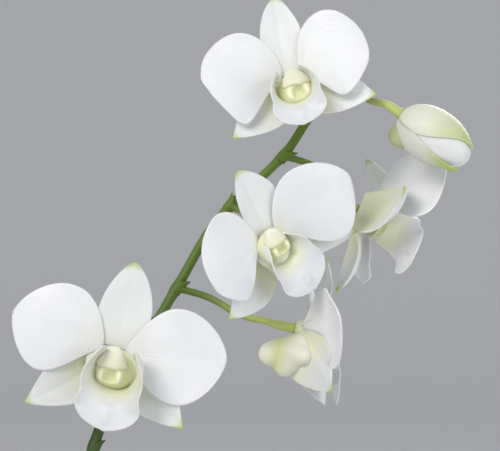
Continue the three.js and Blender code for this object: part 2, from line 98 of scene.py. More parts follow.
def make_piece(name, bm, finishes, nodes):
    bm.transform(Matrix.Scale(MM, 4))
    mesh = bpy.data.meshes.new(name)
    bm.to_mesh(mesh)
    bm.free()
    mesh.shade_smooth()
    for finish in finishes:
        mesh.materials.append(finish)
    piece = bpy.data.objects.new(name, mesh)
    bpy.context.collection.objects.link(piece)
    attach(piece, "root")
    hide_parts(*nodes)
    print(name, "points:", len(mesh.vertices))
    return piece


def round_off(piece):
    softer = piece.modifiers.new("softer", "SUBSURF")
    softer.levels = SOFTER_LEVELS
    softer.render_levels = SOFTER_LEVELS


def thicken(piece, thickness):
    wall = piece.modifiers.new("wall", "SOLIDIFY")
    wall.thickness = thickness * MM
    wall.offset = 0
    wall.use_even_offset = False
    round_off(piece)


# %% [markdown]
# ## Building materials from nodes
# A finish here is a small tree of nodes. `Finish` makes an empty material with its shader, and the
# short helpers under it add one node each and wire it up. The same few patterns come back all over the
# plant: a value that runs along a petal, a noise that breaks up a colour, and a bump from a pattern.
# A mix node has sockets for plain numbers beside those for colours, so `blend` finds its three inputs
# and its output by their numbers.

# %% Node helpers
MIX_INPUTS = (0, 6, 7)
MIX_OUTPUT = 2
VEIN_WAVER = 0.03


class Finish:
    def __init__(self, name, roughness, **sockets):
        self.material = bpy.data.materials.new(name)
        self.material.use_nodes = True
        self.tree = self.material.node_tree
        self.shader = self.tree.nodes["Principled BSDF"]
        self.shader.inputs["Roughness"].default_value = roughness
        for socket, value in sockets.items():
            self.shader.inputs[socket.replace("_", " ")].default_value = value

    def node(self, kind, wires=(), **settings):
        made = self.tree.nodes.new(kind)
        for setting, value in settings.items():
            setattr(made, setting, value)
        for socket, source in dict(wires).items():
            if isinstance(source, bpy.types.NodeSocket):
                self.tree.links.new(source, made.inputs[socket])
            else:
                made.inputs[socket].default_value = source
        return made

    def along(self):
        uv = self.node("ShaderNodeUVMap", uv_map="along")
        split = self.node("ShaderNodeSeparateXYZ", {0: uv.outputs[0]})
        return split.outputs[0], split.outputs[1]

    def spot(self):
        return self.node("ShaderNodeAttribute", attribute_name="spot").outputs["Vector"]

    def place(self):
        return self.node("ShaderNodeTexCoord").outputs["Object"]

    def part(self, vector, axis):
        return self.node("ShaderNodeSeparateXYZ", {0: vector}).outputs[axis]

    def stretched(self, vector, scale):
        return self.node("ShaderNodeMapping", {"Vector": vector, "Scale": scale}).outputs[0]

    def noise(self, vector, scale, detail=3):
        wires = {"Vector": vector, "Scale": scale, "Detail": detail}
        return self.node("ShaderNodeTexNoise", wires).outputs["Fac"]

    def math(self, operation, first, second=0.0):
        return self.node("ShaderNodeMath", {0: first, 1: second}, operation=operation).outputs[0]

    def times(self, first, second):
        return self.math("MULTIPLY", first, second)

    def plus(self, first, second):
        return self.math("ADD", first, second)

    def ramp(self, value, low, high, start=0.0, end=1.0):
        wires = {"Value": value, "From Min": low, "From Max": high, "To Min": start, "To Max": end}
        made = self.node("ShaderNodeMapRange", wires, interpolation_type="SMOOTHSTEP")
        return made.outputs[0]

    def blend(self, share, *colors):
        solid = [color if isinstance(color, bpy.types.NodeSocket) else (*color, 1) for color in colors]
        wires = dict(zip(MIX_INPUTS, (share, *solid)))
        return self.node("ShaderNodeMix", wires, data_type="RGBA").outputs[MIX_OUTPUT]

    def shades(self, value, low, high, colors):
        made = self.node("ShaderNodeValToRGB", {"Fac": self.ramp(value, low, high)})
        spread = made.color_ramp.elements
        while len(spread) < len(colors):
            spread.new(0.5)
        for i, color in enumerate(colors):
            spread[i].position = i / (len(colors) - 1)
            spread[i].color = (*color, 1)
        return made.outputs[0]

    def color(self, source):
        self.tree.links.new(source, self.shader.inputs["Base Color"])

    def rough(self, source):
        self.tree.links.new(source, self.shader.inputs["Roughness"])

    def bump(self, height, distance):
        wires = {"Height": height, "Distance": distance * MM, "Strength": 1}
        made = self.node("ShaderNodeBump", wires)
        self.tree.links.new(made.outputs[0], self.shader.inputs["Normal"])

    def lines(self, count, waver):
        across, along = self.along()
        bent = self.plus(across, self.times(waver, VEIN_WAVER))
        wave = self.math("SINE", self.times(bent, count * math.pi * 2))
        lifted = self.node("ShaderNodeMath", {0: wave, 1: 0.5, 2: 0.5}, operation="MULTIPLY_ADD")
        return lifted.outputs[0], across, along


# %% [markdown]
# ## Two ways to lay a surface
# Petals, leaves and stems are all thin surfaces that bend in two ways at once, so each starts as a flat
# grid. `lay_sheet` writes the grid's own place into the UV map, then moves every point to where the
# petal's formula says. `add_tube` lays the same grid round a curved line and closes the seam, which
# makes a stem whose thickness can change along the way and around it. Its first side faces along X, or
# along Y where the line itself sets out nearly sideways.

# %% Lay a grid as a sheet or a tube
SEAM = 0.001
NEARLY_SIDEWAYS = 0.9


def new_shape():
    bm = bmesh.new()
    bm.loops.layers.uv.new("along")
    bm.verts.layers.float_vector.new("spot")
    return bm


def lay_sheet(bm, columns, rows, at, finish=0):
    uv = bm.loops.layers.uv["along"]
    spot = bm.verts.layers.float_vector["spot"]
    made = bmesh.ops.create_grid(bm, x_segments=columns, y_segments=rows, size=1)["verts"]
    for face in {face for vert in made for face in vert.link_faces}:
        face.material_index = finish
        for loop in face.loops:
            loop[uv].uv = (loop.vert.co.x / 2 + 0.5, loop.vert.co.y / 2 + 0.5)
    for vert in made:
        vert.co = at(vert.co.x, vert.co.y / 2 + 0.5)
        vert[spot] = vert.co
    return made


def add_tube(bm, path, radius, sides, finish=0):
    last = len(path) - 1
    ahead = [(path[min(i + 1, last)] - path[max(i - 1, 0)]).normalized() for i in range(last + 1)]
    aside = [Vector((0, 1, 0)) if abs(ahead[0].x) >= NEARLY_SIDEWAYS else Vector((1, 0, 0))]
    for way in ahead:
        aside.append((aside[-1] - way * aside[-1].dot(way)).normalized())

    def at(around, along):
        i = round(along * last)
        angle = around * math.pi
        up = ahead[i].cross(aside[i + 1])
        out = aside[i + 1] * math.cos(angle) + up * math.sin(angle)
        return path[i] + out * radius(along, angle)

    made = lay_sheet(bm, sides, last, at, finish)
    rim = [vert for vert in made if vert.is_boundary]
    bmesh.ops.remove_doubles(bm, verts=rim, dist=SEAM)
    made = [vert for vert in made if vert.is_valid]
    ends = dict.fromkeys(edge for vert in made for edge in vert.link_edges if edge.is_boundary)
    bmesh.ops.holes_fill(bm, edges=list(ends), sides=0)
    return made


# %% [markdown]
# The fleshy parts of a bloom are closed all round. Each starts as a ball of radius one, and `reshape` says
# where every point of that ball goes.

# %% Reshape a ball
BALL = {"u_segments": 40, "v_segments": 28, "radius": 1}


def add_ball(bm, finish, reshape):
    spot = bm.verts.layers.float_vector["spot"]
    made = bmesh.ops.create_uvsphere(bm, **BALL)["verts"]
    for vert in made:
        vert.co = reshape(vert.co)
        vert[spot] = vert.co
    for face in {face for vert in made for face in vert.link_faces}:
        face.material_index = finish


# %% [markdown]
# ## Soft lines through a few points
# A stem is given by a handful of points. The line through them has to be soft and must not overshoot
# where two points are close together, so the curve weighs each span by the root of its length. It is
# then cut into even steps, because a tube with even rings takes an even shade.

# %% Even steps along a soft line
SPAN_STEPS = 12


def smooth_path(points, steps):
    points = [Vector(point) for point in points]
    spread = [points[0] * 2 - points[1], *points, points[-1] * 2 - points[-2]]
    drawn = []
    for a, b, c, d in zip(spread, spread[1:], spread[2:], spread[3:]):
        before, here, after = ((q - p).length ** 0.5 for p, q in ((a, b), (b, c), (c, d)))
        leave = ((b - a) / before - (c - a) / (before + here) + (c - b) / here) * here
        arrive = ((c - b) / here - (d - b) / (here + after) + (d - c) / after) * here
        for k in range(SPAN_STEPS):
            t = k / SPAN_STEPS
            near, far = 2 * t**3 - 3 * t**2 + 1, 3 * t**2 - 2 * t**3
            drawn.append(b * near + c * far + leave * (t**3 - 2 * t**2 + t) + arrive * (t**3 - t**2))
    drawn.append(points[-1])
    run = [0]
    for p, q in zip(drawn, drawn[1:]):
        run.append(run[-1] + (q - p).length)
    even, k = [], 0
    for step in range(steps + 1):
        place = run[-1] * step / steps
        while k < len(run) - 2 and run[k + 1] < place:
            k += 1
        even.append(drawn[k].lerp(drawn[k + 1], (place - run[k]) / (run[k + 1] - run[k])))
    return even


# %% [markdown]
# ## The outline of a petal, and the blade it bounds
# A petal is narrow where it leaves the throat, swells, and closes in a blunt or pointed tip. `outline`
# gives that half width as a share of the widest place. `blade` then bends the flat petal: its midline
# tilts forwards or back along the way and may swing sideways, its two sides curl up like a shallow
# trough, and the free edge ripples a little, as the thin edge of a real petal does. A pleat is a narrow
# groove along the midline. Rows of points crowd towards the tip, where the outline is roundest.

# %% Outline and blade
SPINE_STEPS = 60
CROWDING = 0.6
LEAST_BEND = 0.001
WAVE = 6.3
WAVES_ALONG = 1.7
PLEAT_SHARPNESS = 5


def outline(peak, full, point, claw):
    power = math.log(0.5) / math.log(peak)

    def at(u):
        swell = max(1 - abs(2 * u**power - 1) ** full, 0) ** (1 / mix(1, point, u))
        root = claw * (1 - u) ** 3
        return root + (1 - root) * swell

    return at


def blade(length, start, lift, tilt, width, curl, twist=None, swing=None, ripple=0, phase=0, pleat=0):
    middle, ways = [Vector((start, 0, lift))], []
    for k in range(SPINE_STEPS + 1):
        u = k / SPINE_STEPS
        up, turn = math.radians(tilt(u)), math.radians(swing(u)) if swing else 0
        ahead = Vector((math.cos(up) * math.cos(turn), math.cos(up) * math.sin(turn), math.sin(up)))
        aside = Vector((-math.sin(turn), math.cos(turn), 0))
        ways.append((aside, ahead.cross(aside)))
        middle.append(middle[-1] + ahead * (length / SPINE_STEPS))

    def at(v, t):
        u = mix(t, math.sin(t * math.pi / 2), CROWDING)
        k = min(int(u * SPINE_STEPS), SPINE_STEPS - 1)
        half = width(u, v)
        bend = math.radians(curl(u))
        if 0 <= bend < LEAST_BEND:
            bend = LEAST_BEND
        flat = half / bend * math.sin(bend * v)
        cup = half / bend * (1 - math.cos(bend * v))
        wave = math.sin(WAVE * (WAVES_ALONG * u + phase) + v)
        cup += ripple * abs(v) ** 3 * wave * smooth(u, 0.15, 0.5)
        groove = math.exp(-((v * PLEAT_SHARPNESS) ** 2))
        cup -= pleat * groove * smooth(u, 0, 0.3) * (1 - smooth(u, 0.6, 1))
        turn = math.radians(twist(u)) if twist else 0
        across = flat * math.cos(turn) - cup * math.sin(turn)
        rise = flat * math.sin(turn) + cup * math.cos(turn)
        aside, up = ways[k]
        return middle[k].lerp(middle[k + 1], u * SPINE_STEPS - k) + aside * across + up * rise

    return at


# %% [markdown]
# ## The camera
# The photograph looks level at the blooms from about 60 cm away, and 170 mm of the spike fill its width.
# The whole plant is much taller than that view, so the pot and the leaves lie below the picture's edge.

# %% Camera at the photograph's viewing angle
VIEW_FROM = (0.045, -0.6, 0.392)
VIEW_WIDTH = 0.17
SENSOR = 36

camera = bpy.data.cameras.new("camera")
camera.sensor_width = SENSOR
camera.lens = SENSOR * abs(VIEW_FROM[1]) / VIEW_WIDTH
viewer = bpy.data.objects.new("camera", camera)
viewer.location = VIEW_FROM
viewer.rotation_euler = (math.radians(90), 0, 0)
bpy.context.collection.objects.link(viewer)
bpy.context.scene.camera = viewer
print("lens:", round(camera.lens, 1), "mm")

# %% [markdown]
# ## Petal and sepal finishes
# The flower is white all over, but never one flat white. A petal has fine veins that fan out from its
# root and a grain of tiny bright cells, its root takes on the green of the throat, and the sepals end in
# a green tip. Light also soaks a little way into a petal, which subsurface scattering gives.
# `root` says from where to where along a petal its green fades out, how strong it is at most, and how
# much of it is left at the sides. `tip` says from where to where the green of the tip grows and how
# strong it gets, and `edge` how much sooner it starts at the sides than in the middle.

# %% White finishes
PALE_GREEN = (0.74, 0.76, 0.46)
TIP_GREEN = (0.40, 0.50, 0.07)
WHITE = (0.80, 0.805, 0.82)
SEPAL_WHITE = (0.77, 0.785, 0.765)
LIP_WHITE = (0.74, 0.745, 0.76)
VEIN_WHITE = (0.64, 0.655, 0.68)
CREAM_WHITE = (0.82, 0.81, 0.68)
SOAK = {"Subsurface_Weight": 0.35, "Subsurface_Scale": 0.0012, "Subsurface_Radius": (1, 1, 1)}
PETAL_ROUGHNESS = 0.45
PATTERNS = {"waver": 160, "breaks": 190, "clouds": 45, "grain": 1500}
NOISE_SPAN = (0.35, 0.7)
VEIN_SHOWS = 0.26
CLOUD_SHOWS = 0.35
MIDDLE_SPAN = (0.08, 0.36)


def white_flesh(name, white, veins, root, tip=None, edge=0.14):
    finish = Finish(name, PETAL_ROUGHNESS, **SOAK)
    place = finish.place()
    lines, across, along = finish.lines(veins, finish.noise(place, PATTERNS["waver"]))
    breaks = finish.ramp(finish.noise(place, PATTERNS["breaks"], 2), *NOISE_SPAN)
    thin = finish.times(finish.ramp(lines, 0.55, 1.0), breaks)
    grain = finish.noise(place, PATTERNS["grain"], 2)
    clouds = finish.ramp(finish.noise(place, PATTERNS["clouds"], 2), *NOISE_SPAN, 0, CLOUD_SHOWS)
    body = finish.blend(finish.math("MAXIMUM", finish.times(thin, VEIN_SHOWS), clouds), white, VEIN_WHITE)
    from_middle = finish.math("ABSOLUTE", finish.math("SUBTRACT", across, 0.5))
    start, end, most, side = root
    fade = finish.ramp(along, start, end, most, 0)
    body = finish.blend(finish.times(fade, finish.ramp(from_middle, *MIDDLE_SPAN, 1, side)), body, PALE_GREEN)
    if tip:
        start, end, most = tip
        further = finish.plus(along, finish.times(from_middle, edge))
        body = finish.blend(finish.ramp(further, start, end, 0, most), body, TIP_GREEN)
    finish.color(body)
    finish.rough(finish.ramp(grain, *NOISE_SPAN, PETAL_ROUGHNESS + 0.14, PETAL_ROUGHNESS - 0.12))
    finish.bump(finish.plus(finish.times(thin, -0.4), finish.times(grain, 0.6)), 0.07)
    return finish.material


PETAL = white_flesh("petal white", WHITE, 19, (0.06, 0.3, 0.15, 0.6))
TOP_SEPAL = white_flesh("top sepal white", SEPAL_WHITE, 11, (0.04, 0.3, 0.15, 0.8), (0.82, 1.04, 0.85))
SEPAL = white_flesh("sepal white", SEPAL_WHITE, 11, (0.1, 0.52, 0.8, 0.9), (0.8, 1.04, 0.9))
LIP = white_flesh("lip white", LIP_WHITE, 17, (0.14, 0.46, 0.7, 0.5))
print("white finishes:", [finish.name for finish in (PETAL, TOP_SEPAL, SEPAL, LIP)])

# %% [markdown]
# The chin under the throat and the column are fleshier than the petals and more yellow. They need no
# veins, only a soft change of colour: the chin fades to white towards the sepals, and the column is
# cream on its cap and green in the hollow under it. Each change of colour runs between two places, in
# millimetres up or out in the bloom's own frame, and a little noise keeps its border from being straight.

# %% Chin and column finishes
CHIN_GREEN = (0.68, 0.71, 0.36)
CHIN_PALE = (0.76, 0.77, 0.60)
CREAM = (0.80, 0.79, 0.56)
CHEEK = (0.95, 0.94, 0.70)
HOLLOW_GREEN = (0.74, 0.76, 0.47)
FLESH = {"Subsurface_Weight": 0.4, "Subsurface_Scale": 0.0015, "Subsurface_Radius": (1, 1, 1)}
UP, OUT = "Y", "Z"
MOTTLE = 260
MOTTLE_REACH = 1.5
SKIN = 900


def soft_flesh(name, axis, low, high, colors, roughness=0.5):
    finish = Finish(name, roughness, **FLESH)
    place = finish.place()
    mottle = finish.times(finish.noise(place, MOTTLE), MOTTLE_REACH)
    ahead = finish.plus(finish.part(finish.spot(), axis), mottle)
    finish.color(finish.shades(ahead, low, high, colors))
    finish.bump(finish.noise(place, SKIN), 0.1)
    return finish.material


CHIN = soft_flesh("chin", OUT, -18, -1, [CREAM_WHITE, CHIN_GREEN, CHIN_PALE, CREAM_WHITE])
NECK = soft_flesh("neck", OUT, -8, 0, [CHIN_GREEN, SEPAL_WHITE])
CAP = soft_flesh("column cap", UP, -5, 3, [CREAM, CREAM_WHITE], 0.58)
COLUMN = soft_flesh("column", OUT, 5, 9.8, [HOLLOW_GREEN, HOLLOW_GREEN, PALE_GREEN, CHEEK], 0.66)
THROAT = soft_flesh("throat", UP, -7, 2, [PALE_GREEN, SEPAL_WHITE])
print("soft finishes:", [finish.name for finish in (CHIN, NECK, CAP, COLUMN, THROAT)])

# %% [markdown]
# ## The blooms
# All five blooms share one build. Each has its own place, turn and size, and its own five tepals, because
# no two petals of a real bloom are quite alike. In a bloom's own frame X is its right, Y its top and Z the
# way it faces.

# %% Where each bloom sits
BLOOMS = {
    "bloom_1": {"at": (-1.6, 0, 349), "turn": (-4, 0, 9.5), "size": 1},
    "bloom_2": {"at": (67.4, 20, 354.7), "turn": (94, -11, 5.5), "size": 0.95},
    "bloom_3": {"at": (51.4, 2, 387.4), "turn": (28, 0, -35), "size": 0.9},
    "bloom_4": {"at": (88.9, 35, 395.8), "turn": (110, -19, 51), "size": 0.87},
    "bloom_5": {"at": (59.4, 5, 442.9), "turn": (0, 14, -15.5), "size": 0.84},
}
FACING = Matrix(((1, 0, 0), (0, 0, -1), (0, 1, 0))).to_4x4()


def bloom_frame(at, turn, size):
    yaw, pitch, roll = (math.radians(angle) for angle in turn)
    turned = Matrix.Rotation(yaw, 4, "Z") @ Matrix.Rotation(-pitch, 4, "X") @ Matrix.Rotation(roll, 4, "Y")
    return Matrix.Translation(at) @ turned @ FACING @ Matrix.Scale(size, 4)


print("blooms:", len(BLOOMS))

# %% [markdown]
# A bloom has two broad petals at its sides, a top sepal and two lower sepals, which stand behind the
# petals. A row below is one of them: the way it points, in degrees from the bloom's right, its length, the
# widths of its two halves, how far it bends aside, and how much further out its first half is widest.

# %% The five tepals of each bloom
TEPALS = {
    "bloom_1": [
        (7, 35.4, 16, 17, 0, 0), (162, 32.6, 16.2, 15.6, 14, 0.05), (81, 27.5, 9, 9.5, 9, 0),
        (-41, 31.5, 11, 9, 7, 0), (-134, 31.5, 8.5, 10.5, -15, 0),
    ],
    "bloom_2": [
        (6, 33, 16.5, 16.5, 0, 0), (174, 33, 15.5, 15, 0, 0.06), (90, 27, 9, 9, 0, 0),
        (-50, 36, 10, 12.5, 6, 0), (-131, 28, 14, 8.5, 0, 0),
    ],
    "bloom_3": [
        (8, 36, 15.5, 19.5, -10, -0.06), (173, 29, 12, 20.5, 26, 0.14), (79, 25, 7, 11, 10, 0),
        (-32, 35, 9, 8.5, 3, 0), (-144, 31, 12.5, 8, -23, 0),
    ],
    "bloom_4": [
        (2, 28.5, 15.5, 14.5, -28, 0), (186, 35, 21, 21, 4, 0.14), (93, 29, 8, 10, 32, 0),
        (-43, 35.5, 14.5, 9, -4, 0), (-138, 39.5, 18, 9.5, -11, 0),
    ],
    "bloom_5": [
        (11, 29, 22, 15.5, -32, -0.05), (156, 34, 22, 17, 35, 0.04), (97, 31.5, 8, 10, -24, 0),
        (-33, 31.5, 9.5, 10.5, 12, 0), (-143, 32, 9.5, 10, -11, 0),
    ],
}
print("tepals:", sum(len(rows) for rows in TEPALS.values()))

# %% [markdown]
# A bloom that has just opened still holds its tepals forwards like a funnel, and an older one lays them
# flat. Most pairs below are such an angle at the root and at the tip: how far the petals, the top sepal
# and the lower sepals stand forwards, and how far the petals' sides and the lower sepals' sides curl.
# `twist` turns each petal about its own midline, and `depth` sets the petals and the top sepal back by
# some millimetres. The pair `under` says at which height the lower sepals leave the seat, and how far
# they are twisted there.

# %% How each bloom holds them
HABIT = {
    "petals": (12, -1), "sides": (4, -10), "top": (4, 2), "lower": (16, 2), "folds": (14, 6),
    "twist": 0, "depth": 0, "under": (-4.8, 28),
}
HABITS = {
    "bloom_2": {
        "petals": (54, -20), "sides": (-14, -26), "top": (52, -34), "lower": (46, 14), "folds": (6, 8),
        "twist": 17, "depth": 5, "under": (-6, 34),
    },
    "bloom_3": {"petals": (18, 9)},
    "bloom_4": {
        "petals": (21, 23), "top": (46, -60), "lower": (50, -46), "folds": (-20, -50), "under": (-8, 28),
    },
    "bloom_5": {"petals": (16, 6)},
}
TEPAL_FINISHES = [PETAL, SEPAL, TOP_SEPAL]
ROOT = 4
TOP_ROOT = 1.6
PETAL_LIFT = 0.4
TOP_LIFT = -0.8
PETAL_SHAPE = {
    "finish": TEPAL_FINISHES.index(PETAL), "start": ROOT, "ripple": 0.7, "pleat": 0.25,
    "edge": {"peak": 0.53, "full": 1.95, "point": 1.5, "claw": 0.08},
}
TOP_SHAPE = {
    "finish": TEPAL_FINISHES.index(TOP_SEPAL), "start": TOP_ROOT, "ripple": 0.3, "pleat": 0.35,
    "edge": {"peak": 0.4, "full": 2.1, "point": 1.4, "claw": 0.5}, "curl": (14, 10),
}
LOWER_SHAPE = {
    "finish": TEPAL_FINISHES.index(SEPAL), "start": ROOT, "ripple": 0.3, "pleat": 0.35,
    "edge": {"peak": 0.33, "full": 2, "point": 1.05, "claw": 0.8},
}


def tepal_kinds(petals, sides, top, lower, folds, twist, depth, under):
    height, turn = under
    petal = {**PETAL_SHAPE, "lift": PETAL_LIFT - depth, "tilt": petals, "curl": sides}
    below = {**LOWER_SHAPE, "lift": height, "tilt": lower, "curl": folds}
    return [
        {**petal, "twist": (-twist, -twist), "phase": 0.1},
        {**petal, "twist": (twist, twist), "phase": 0.6},
        {**TOP_SHAPE, "lift": TOP_LIFT - depth, "tilt": top, "twist": (0, 0), "phase": 0.3},
        {**below, "twist": (turn, 0), "phase": 0.8},
        {**below, "twist": (-turn, 0), "phase": 0.2},
    ]


# %% [markdown]
# Every tepal is laid pointing right, then turned to its own way round the throat. The lower sepals twist
# towards the chin at their roots, because on this plant they grow along it.

# %% Tepals
TIP_WIDTH = 0.2
TEPAL_GRID = (26, 28)


def between(pair):
    return lambda u: mix(*pair, u)


def add_tepal(bm, row, finish, start, edge, tilt, curl, twist, **shape):
    point, reach, first, second, swing, skew = row
    halves = [outline(**{**edge, "peak": edge["peak"] + shift}) for shift in (skew, -skew)]

    def half_width(u, v):
        widest, along = (first, halves[0]) if v > 0 else (second, halves[1])
        return max(widest * along(u), TIP_WIDTH)

    at = blade(
        length=reach + ROOT - start, start=start, tilt=between(tilt), width=half_width, curl=between(curl),
        twist=between(twist), swing=between((0, swing)), **shape,
    )
    turn_round(bm, lay_sheet(bm, *TEPAL_GRID, at, finish), point)


def turn_round(bm, made, angle):
    spot = bm.verts.layers.float_vector["spot"]
    bmesh.ops.rotate(bm, verts=made, cent=(0, 0, 0), matrix=Matrix.Rotation(math.radians(angle), 3, "Z"))
    for vert in made:
        vert[spot] = vert.co


# %% [markdown]
# The petals grow from a low seat round the throat. Behind it a neck leads to the flower stalk, and below
# it the chin bulges down and back in a foot and a heel, which only show from the side. The chin is one
# soft form made of rounded bars: a ball is drawn out from its middle until every point lies on the
# surface where the bars melt into each other. A bar is its two ends and its radius at each.
# The two blooms that stand side on have a smaller seat. One of them has a smaller chin too, and the other
# has two more bars, which fill the corners between its chin and its lower sepals.

# %% The seat, the neck and the chin
SEAT_FINISHES = [CHIN, NECK, THROAT]
SEAT_PROFILE = [
    (0.01, 1.2), (7, 0.8), (8.6, 1.2), (9.2, -0.4), (7.4, -1.8),
    (6.4, -2.6), (4.4, -5.8), (2.2, -7.6), (0.01, -8),
]
SEAT_STEPS = 32
SEAT_DROP = -3.2
DROP_OVER = (-4.4, -0.4)
SEAT_LEAN = 3
LEAN_UPWARDS = (-2, 4.5)
LEAN_OUTWARDS = (-4, -2)
THROAT_FROM = 0.5
CHIN_MIDDLE = Vector((0, -6.5, -4.5))
CHIN_REACH = 20
CHIN_MELT = 2.4
CHIN_HALVINGS = 14
CHIN_BARS = [
    (Vector((0, -5, -2)), Vector((0, -11, -14.4)), 5, 4.5),
    (Vector((0, -6, -2)), Vector((0, -11, -9)), 6, 5.2),
    (Vector((0, -6, -2)), Vector((0, -14.6, -8.2)), 5.4, 4),
]
CHIN_SIDES = {
    "bloom_2": [(Vector((0, -9, -7)), Vector((side * 5, -9.6, -2)), 5, 3.4) for side in (-1, 1)],
}
CHIN_SIZES = {"bloom_4": 0.66}
SEAT_SIZES = {"bloom_2": 0.74, "bloom_4": 0.66}
PETAL_THICK = 0.55


def add_seat(bm, size):
    spot = bm.verts.layers.float_vector["spot"]
    ring = [bm.verts.new((radius * size, 0, z)) for radius, z in SEAT_PROFILE]
    line = [bm.edges.new(pair) for pair in zip(ring, ring[1:])]
    bmesh.ops.spin(
        bm, geom=ring + line, cent=(0, 0, 0), axis=(0, 0, 1), angle=math.tau, steps=SEAT_STEPS,
        use_merge=True,
    )
    for vert in bm.verts:
        vert.co.y += SEAT_DROP * smooth(vert.co.z, *DROP_OVER)
        vert.co.z -= SEAT_LEAN * smooth(vert.co.y, *LEAN_UPWARDS) * smooth(vert.co.z, *LEAN_OUTWARDS)
        vert[spot] = vert.co
    for face in bm.faces:
        inside = face.calc_center_median().z > THROAT_FROM
        face.material_index = SEAT_FINISHES.index(THROAT if inside else NECK)


def out_of_chin(at, bars):
    melted = 0
    for root, tip, near, far in bars:
        run = tip - root
        share = min(max((at - root).dot(run) / run.length_squared, 0), 1)
        melted += math.exp(CHIN_MELT * (mix(near, far, share) - (at - root - run * share).length))
    return melted < 1


def chin_point(way, bars):
    inside, outside = 0, CHIN_REACH
    for step in range(CHIN_HALVINGS):
        middle = (inside + outside) / 2
        if out_of_chin(CHIN_MIDDLE + way * middle, bars):
            outside = middle
        else:
            inside = middle
    return CHIN_MIDDLE + way * inside


def make_tepals(name):
    bm = new_shape()
    for row, kind in zip(TEPALS[name], tepal_kinds(**{**HABIT, **HABITS.get(name, {})})):
        add_tepal(bm, row, **kind)
    bm.transform(bloom_frame(**BLOOMS[name]))
    thicken(make_piece(name + ".petals", bm, TEPAL_FINISHES, [name + "_tepals"]), PETAL_THICK)


def make_seat(name):
    bm = new_shape()
    add_seat(bm, SEAT_SIZES.get(name, 1))
    bars = CHIN_BARS + CHIN_SIDES.get(name, [])
    size = CHIN_SIZES.get(name, 1)
    add_ball(bm, SEAT_FINISHES.index(CHIN), lambda at: CHIN_MIDDLE.lerp(chin_point(at, bars), size))
    face_outwards(bm)
    bm.transform(bloom_frame(**BLOOMS[name]))
    round_off(make_piece(name + ".seat", bm, SEAT_FINISHES, [name + "_tepals"]))


for name in BLOOMS:
    make_tepals(name)
    make_seat(name)

# %% [markdown]
# ## The lip
# The lip is the petal that an insect lands on. Its two sides stand up in a funnel round the column, then
# it opens out, rolls down and ends in a broad round lobe with a tiny point. One grid can do all of this,
# because the curl goes from almost a closed ring at the root to nearly flat at the tip. The lips of the
# five blooms differ in how far they lean, how flat they are pressed, how long and how wide they are, and
# where they sit.

# %% Lips
LIP_FUNNEL = {"root": 17, "wings": 24.5, "lobe": 12}
LIP_WINGS_AT = 0.22
LIP_LOBE = (0.46, 0.965)
LIP_ROUND = 2.1
LIP_POINT = 1.3
LIP_CURL = easing([(0, 146), (0.22, 146), (0.45, 62), (0.66, 22), (1, 6)])
LIP_TILT = easing([(0, 80), (0.2, 70), (0.45, 32), (0.7, 10), (1, -4)])
LIP_LENGTH = 19.8
LIP_START = 12
LIP_LIFT = 1.7
LIP_RIDGE = 0.8
RIDGE_SHARPNESS = 6
LIP_GRID = (40, 44)
LIP_THICK = 0.5
LEAST_WIDTH = 0.05
LIP_HABIT = {"lean": 0, "press": 1, "reach": 1, "wings": 1, "shift": (0, 0, 0), "turn": 0}
LIP_HABITS = {
    "bloom_1": {"wings": 0.95, "shift": (3.4, 0, 0), "turn": -2, "reach": 0.94},
    "bloom_2": {"lean": 42, "press": 0.72, "reach": 1.08, "wings": 0.8, "shift": (0, -1, -0.4)},
    "bloom_3": {"shift": (-1.2, 1.4, 0), "press": 0.6, "wings": 0.72, "turn": 8},
    "bloom_4": {"lean": 10, "wings": 0.88, "shift": (0, 0, 1.2)},
    "bloom_5": {"wings": 0.84, "shift": (-1.6, 0, 0), "reach": 0.8},
}


def lip_width(wings):
    start, end = LIP_LOBE
    root, widest, lobe = LIP_FUNNEL["root"], LIP_FUNNEL["wings"] * wings, LIP_FUNNEL["lobe"]
    funnel = easing([(0, root), (LIP_WINGS_AT, widest), (start, lobe)])

    def half_width(u, v):
        closing = math.sqrt(max(1 - max((u - start) / (end - start), 0) ** LIP_ROUND, 0))
        return funnel(u) * closing + LIP_POINT * (1 - smooth(abs(u - end), 0, 1 - end)) + LEAST_WIDTH

    return half_width


def make_lip(name, lean, press, reach, wings, shift, turn):
    at = blade(
        LIP_LENGTH * reach, LIP_START, LIP_LIFT, lambda u: LIP_TILT(u) + lean * u, lip_width(wings),
        LIP_CURL, ripple=0.4, phase=0.4,
    )

    def pressed(v, t):
        spot = at(v, t)
        ridge = LIP_RIDGE * math.exp(-((v * RIDGE_SHARPNESS) ** 2))
        ridge *= smooth(t, 0.35, 0.5) * (1 - smooth(t, 0.6, 0.85))
        spot.z = mix(LIP_LIFT, spot.z, press) + ridge
        return spot

    bm = new_shape()
    turn_round(bm, lay_sheet(bm, *LIP_GRID, pressed), turn - 90)
    bm.transform(bloom_frame(**BLOOMS[name]) @ Matrix.Translation(shift))
    thicken(make_piece(name + ".lip", bm, [LIP], [name + "_lip"]), LIP_THICK)


for name in BLOOMS:
    make_lip(name, **{**LIP_HABIT, **LIP_HABITS[name]})

# %% [markdown]
# ## The column
# The column stands in the middle of the throat. A cream cap hangs over its end like an awning, narrow at
# the top and with a ruffled lower edge, and under it two bright cheeks hold a green hollow between them.
# Both shapes start as a round ball. The cap's ball is squared up, so that its front is flat and its lower
# edge is sharp. The body's ball gets round hills: a mound, a cheek on each side, and a hill taken away
# for the hollow. A row holds a hill's height, its place, and its half width and half height.

